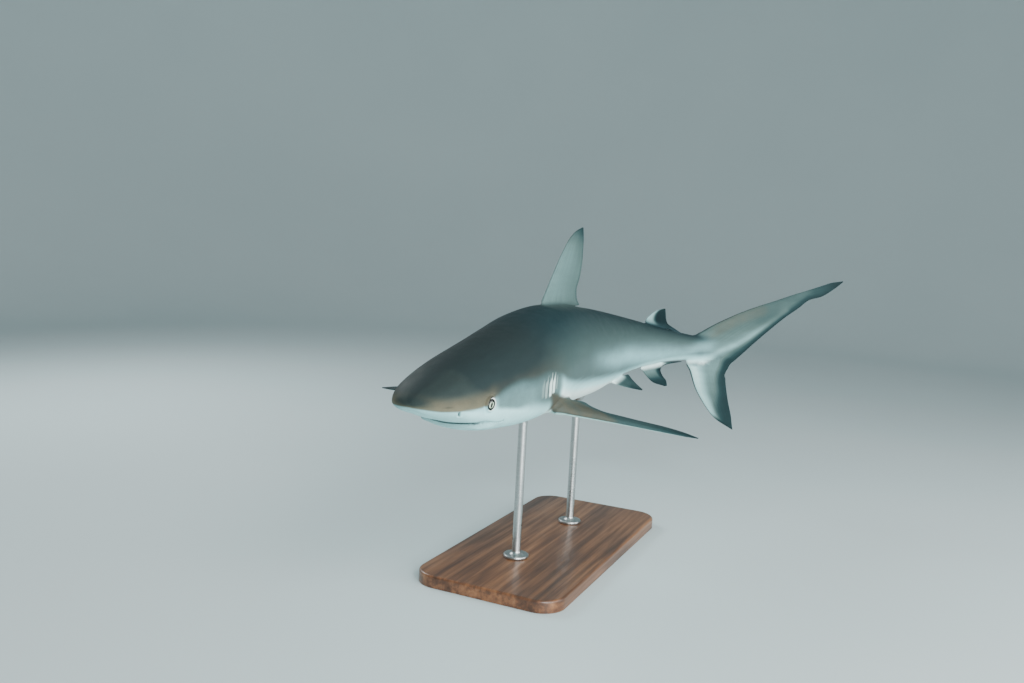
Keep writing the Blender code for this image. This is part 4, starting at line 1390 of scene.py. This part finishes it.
def dress_base(material):
    bm = bmesh.new()
    bmesh.ops.create_cube(bm, size=1.0)
    bmesh.ops.scale(bm, vec=BASE_SIZE, verts=bm.verts)
    half = BASE_SIZE[2] / 2
    upright = [e for e in bm.edges if abs(e.verts[0].co.z - e.verts[1].co.z) > half]
    bmesh.ops.bevel(bm, geom=upright, offset=BASE_CORNER, segments=20, affect="EDGES", profile=0.5)
    rim = [e for e in bm.edges if min(v.co.z for v in e.verts) > half - 1e-6]
    bmesh.ops.bevel(bm, geom=rim, offset=BASE_EDGE, segments=6, affect="EDGES", profile=0.5)
    bmesh.ops.translate(bm, vec=(*BASE_PLACE, half), verts=bm.verts)
    mesh = mesh_of(bm, "stand_plinth", SHARP_DEGREES)
    add_piece("stand_plinth", mesh, material, "stand_wood", "stand_base")


def rounded(profile, radius, steps=4):
    """The same profile with its corners rounded off."""
    out = [profile[0]]
    for before, here, after in zip(profile, profile[1:], profile[2:]):
        before, here, after = (np.array(p) for p in (before, here, after))
        back, on = before - here, after - here
        cut = min(radius, 0.45 * np.linalg.norm(back), 0.45 * np.linalg.norm(on))
        start = here + back / np.linalg.norm(back) * cut
        end = here + on / np.linalg.norm(on) * cut
        for t in np.linspace(0, 1, steps + 1):
            out.append(tuple((1 - t) ** 2 * start + 2 * t * (1 - t) * here + t * t * end))
    return out + [profile[-1]]


def turned(profile, around, x=0.0, y=0.0, inward=False):
    """A bmesh turned from (radius, height) places around an upright axis; radius 0 closes an end."""
    bm = bmesh.new()
    rows = []
    for radius, height in profile:
        angles = np.linspace(0, 2 * math.pi, around, endpoint=False) if radius > 1e-6 else (0.0,)
        rows.append([bm.verts.new((x + radius * math.cos(t), y + radius * math.sin(t), height))
                     for t in angles])
    skin_rows(bm, rows, inward)
    return bm


def dress_rod(name, material):
    station = ROD_STATIONS[name]
    x, y, under = LINE.place(station, 0.0, body_size(BOTTOM, station))
    top, pad = under + PAD_INTO_BODY, under - PAD_HEIGHT
    floor = BASE_SIZE[2] + GAP
    foot = floor + FOOT_HEIGHT
    side, step, cone = PAD_CONE
    profile = ((0.0, top), (PAD_RADIUS, top), (PAD_RADIUS, pad + side), (PAD_RADIUS - step, pad),
               (ROD_RADIUS, pad - cone), (ROD_RADIUS, foot + FOOT_COVE), (ROD_RADIUS + FOOT_COVE, foot),
               (FOOT_RADIUS, foot), (FOOT_RADIUS, floor), (0.0, floor))
    bm = turned(rounded(profile, ROD_ROUNDING), ROD_SIDES, x, y)
    bmesh.ops.recalc_face_normals(bm, faces=bm.faces)
    mesh = mesh_of(bm, name + "_turned", SHARP_DEGREES)
    add_piece(name + "_turned", mesh, material, "stand_steel", name)


# ---- the studio ----
CAMERA_PLACE = (-2.3461, -0.8234, 0.8366)
VIEW_AZIMUTH, VIEW_ELEVATION, VIEW_ROLL = -1.166, 0.137, 0.057
VIEW_LENS, SENSOR_WIDTH, CLIP_END = 31.66, 36.0, 100.0
VIEW_AIM = np.array((27.36, -21.18, 900.5))     # to the right, up and ahead, pixels
STAGE_FLAT = 5.5
STAGE_CURVE = 3.5
STAGE_WALL = (4.5, 7.0)
STAGE_SIDES = 96
STAGE_DROP = 0.001
AIR_COLOUR, AIR_STRENGTH = (0.78, 0.85, 0.88, 1.0), 0.45
LIGHTS = (  # name, place, aim, size, power, colour
    ("key", (-3.4, -2.3, 1.5), (-0.3, 0.0, 0.5), (1.6, 1.2), 132, (1.0, 1.0, 0.99)),
    ("side", (0.2, -3.4, 1.0), (0.2, 0.0, 0.5), (2.4, 1.2), 72, (0.95, 1.0, 1.0)),
    ("belly", (-2.0, -2.3, 0.28), (-0.2, 0.0, 0.48), (1.8, 0.5), 58, (0.97, 1.0, 1.0)),
    ("floor_left", (-1.6, -2.4, 2.6), (-0.4, -0.9, 0.0), (2.0, 1.4), 60, (0.95, 1.0, 1.0)),
    ("floor_right", (0.4, 3.0, 2.2), (0.2, 0.8, 0.0), (2.0, 1.4), 60, (0.92, 0.99, 1.0)),
)


def add_camera():
    """The camera that the pose was fitted with."""
    back = np.array((math.sin(VIEW_AZIMUTH) * math.cos(VIEW_ELEVATION),
                     -math.cos(VIEW_AZIMUTH) * math.cos(VIEW_ELEVATION), math.sin(VIEW_ELEVATION)))
    look = -back
    right = np.cross(look, (0, 0, 1.0))
    right /= np.linalg.norm(right)
    up = np.cross(right, look)
    r = right * math.cos(VIEW_ROLL) + up * math.sin(VIEW_ROLL)
    u = -right * math.sin(VIEW_ROLL) + up * math.cos(VIEW_ROLL)
    # turn the whole view so that what the aim points at lands in the picture's middle
    aim = VIEW_AIM / np.linalg.norm(VIEW_AIM)
    w = np.array((-aim[1], aim[0], 0.0))
    k = np.array(((0, -w[2], w[1]), (w[2], 0, -w[0]), (-w[1], w[0], 0)))
    turn = np.eye(3) + k + k @ k / (1 + aim[2])
    axes = turn @ np.stack([r, u, look])
    data = bpy.data.cameras.new("camera")
    data.lens = VIEW_LENS
    data.sensor_width = SENSOR_WIDTH
    data.clip_end = CLIP_END
    camera = link(bpy.data.objects.new("camera", data))
    rotation = Matrix((axes[0], axes[1], -axes[2])).transposed()
    camera.matrix_world = Matrix.Translation(CAMERA_PLACE) @ rotation.to_4x4()
    bpy.context.scene.camera = camera


def add_light(name, place, aim, size, power, colour):
    data = bpy.data.lights.new(name, "AREA")
    data.shape = "RECTANGLE"
    data.size, data.size_y = size
    data.energy = power
    data.color = colour
    light = link(bpy.data.objects.new(name, data))
    light.location = place
    light.rotation_euler = (Vector(aim) - Vector(place)).to_track_quat("-Z", "Y").to_euler()


def add_stage():
    """A plain pale floor that sweeps up into the backdrop on every side, in even air, and its lights."""
    profile = [(STAGE_FLAT * share, 0.0) for share in (0.0, 0.02, 0.2, 0.5, 0.8)]
    profile += [(STAGE_FLAT + STAGE_CURVE * math.sin(t), STAGE_CURVE * (1 - math.cos(t)))
                for t in np.linspace(0, math.pi / 2, 24)]
    profile += [(STAGE_FLAT + STAGE_CURVE, height) for height in STAGE_WALL]
    profile = [(radius, height - STAGE_DROP) for radius, height in profile]
    mesh = mesh_of(turned(profile, STAGE_SIDES, inward=True), "studio_floor")
    mesh.materials.append(floor_material())
    link(bpy.data.objects.new("studio_floor", mesh))
    world = bpy.context.scene.world or bpy.data.worlds.new("World")
    bpy.context.scene.world = world
    world.use_nodes = True
    background = world.node_tree.nodes["Background"]
    background.inputs["Color"].default_value = AIR_COLOUR
    background.inputs["Strength"].default_value = AIR_STRENGTH
    for light in LIGHTS:
        add_light(*light)


add_camera()
dress_skin()
EYE_FINISH = eye_material()
for eye_side, eye_word in SIDES:
    dress_eye(eye_side, eye_word, EYE_FINISH)
dress_base(wood_material())
STEEL_FINISH = steel_material()
for rod_name in ROD_STATIONS:
    dress_rod(rod_name, STEEL_FINISH)
add_stage()
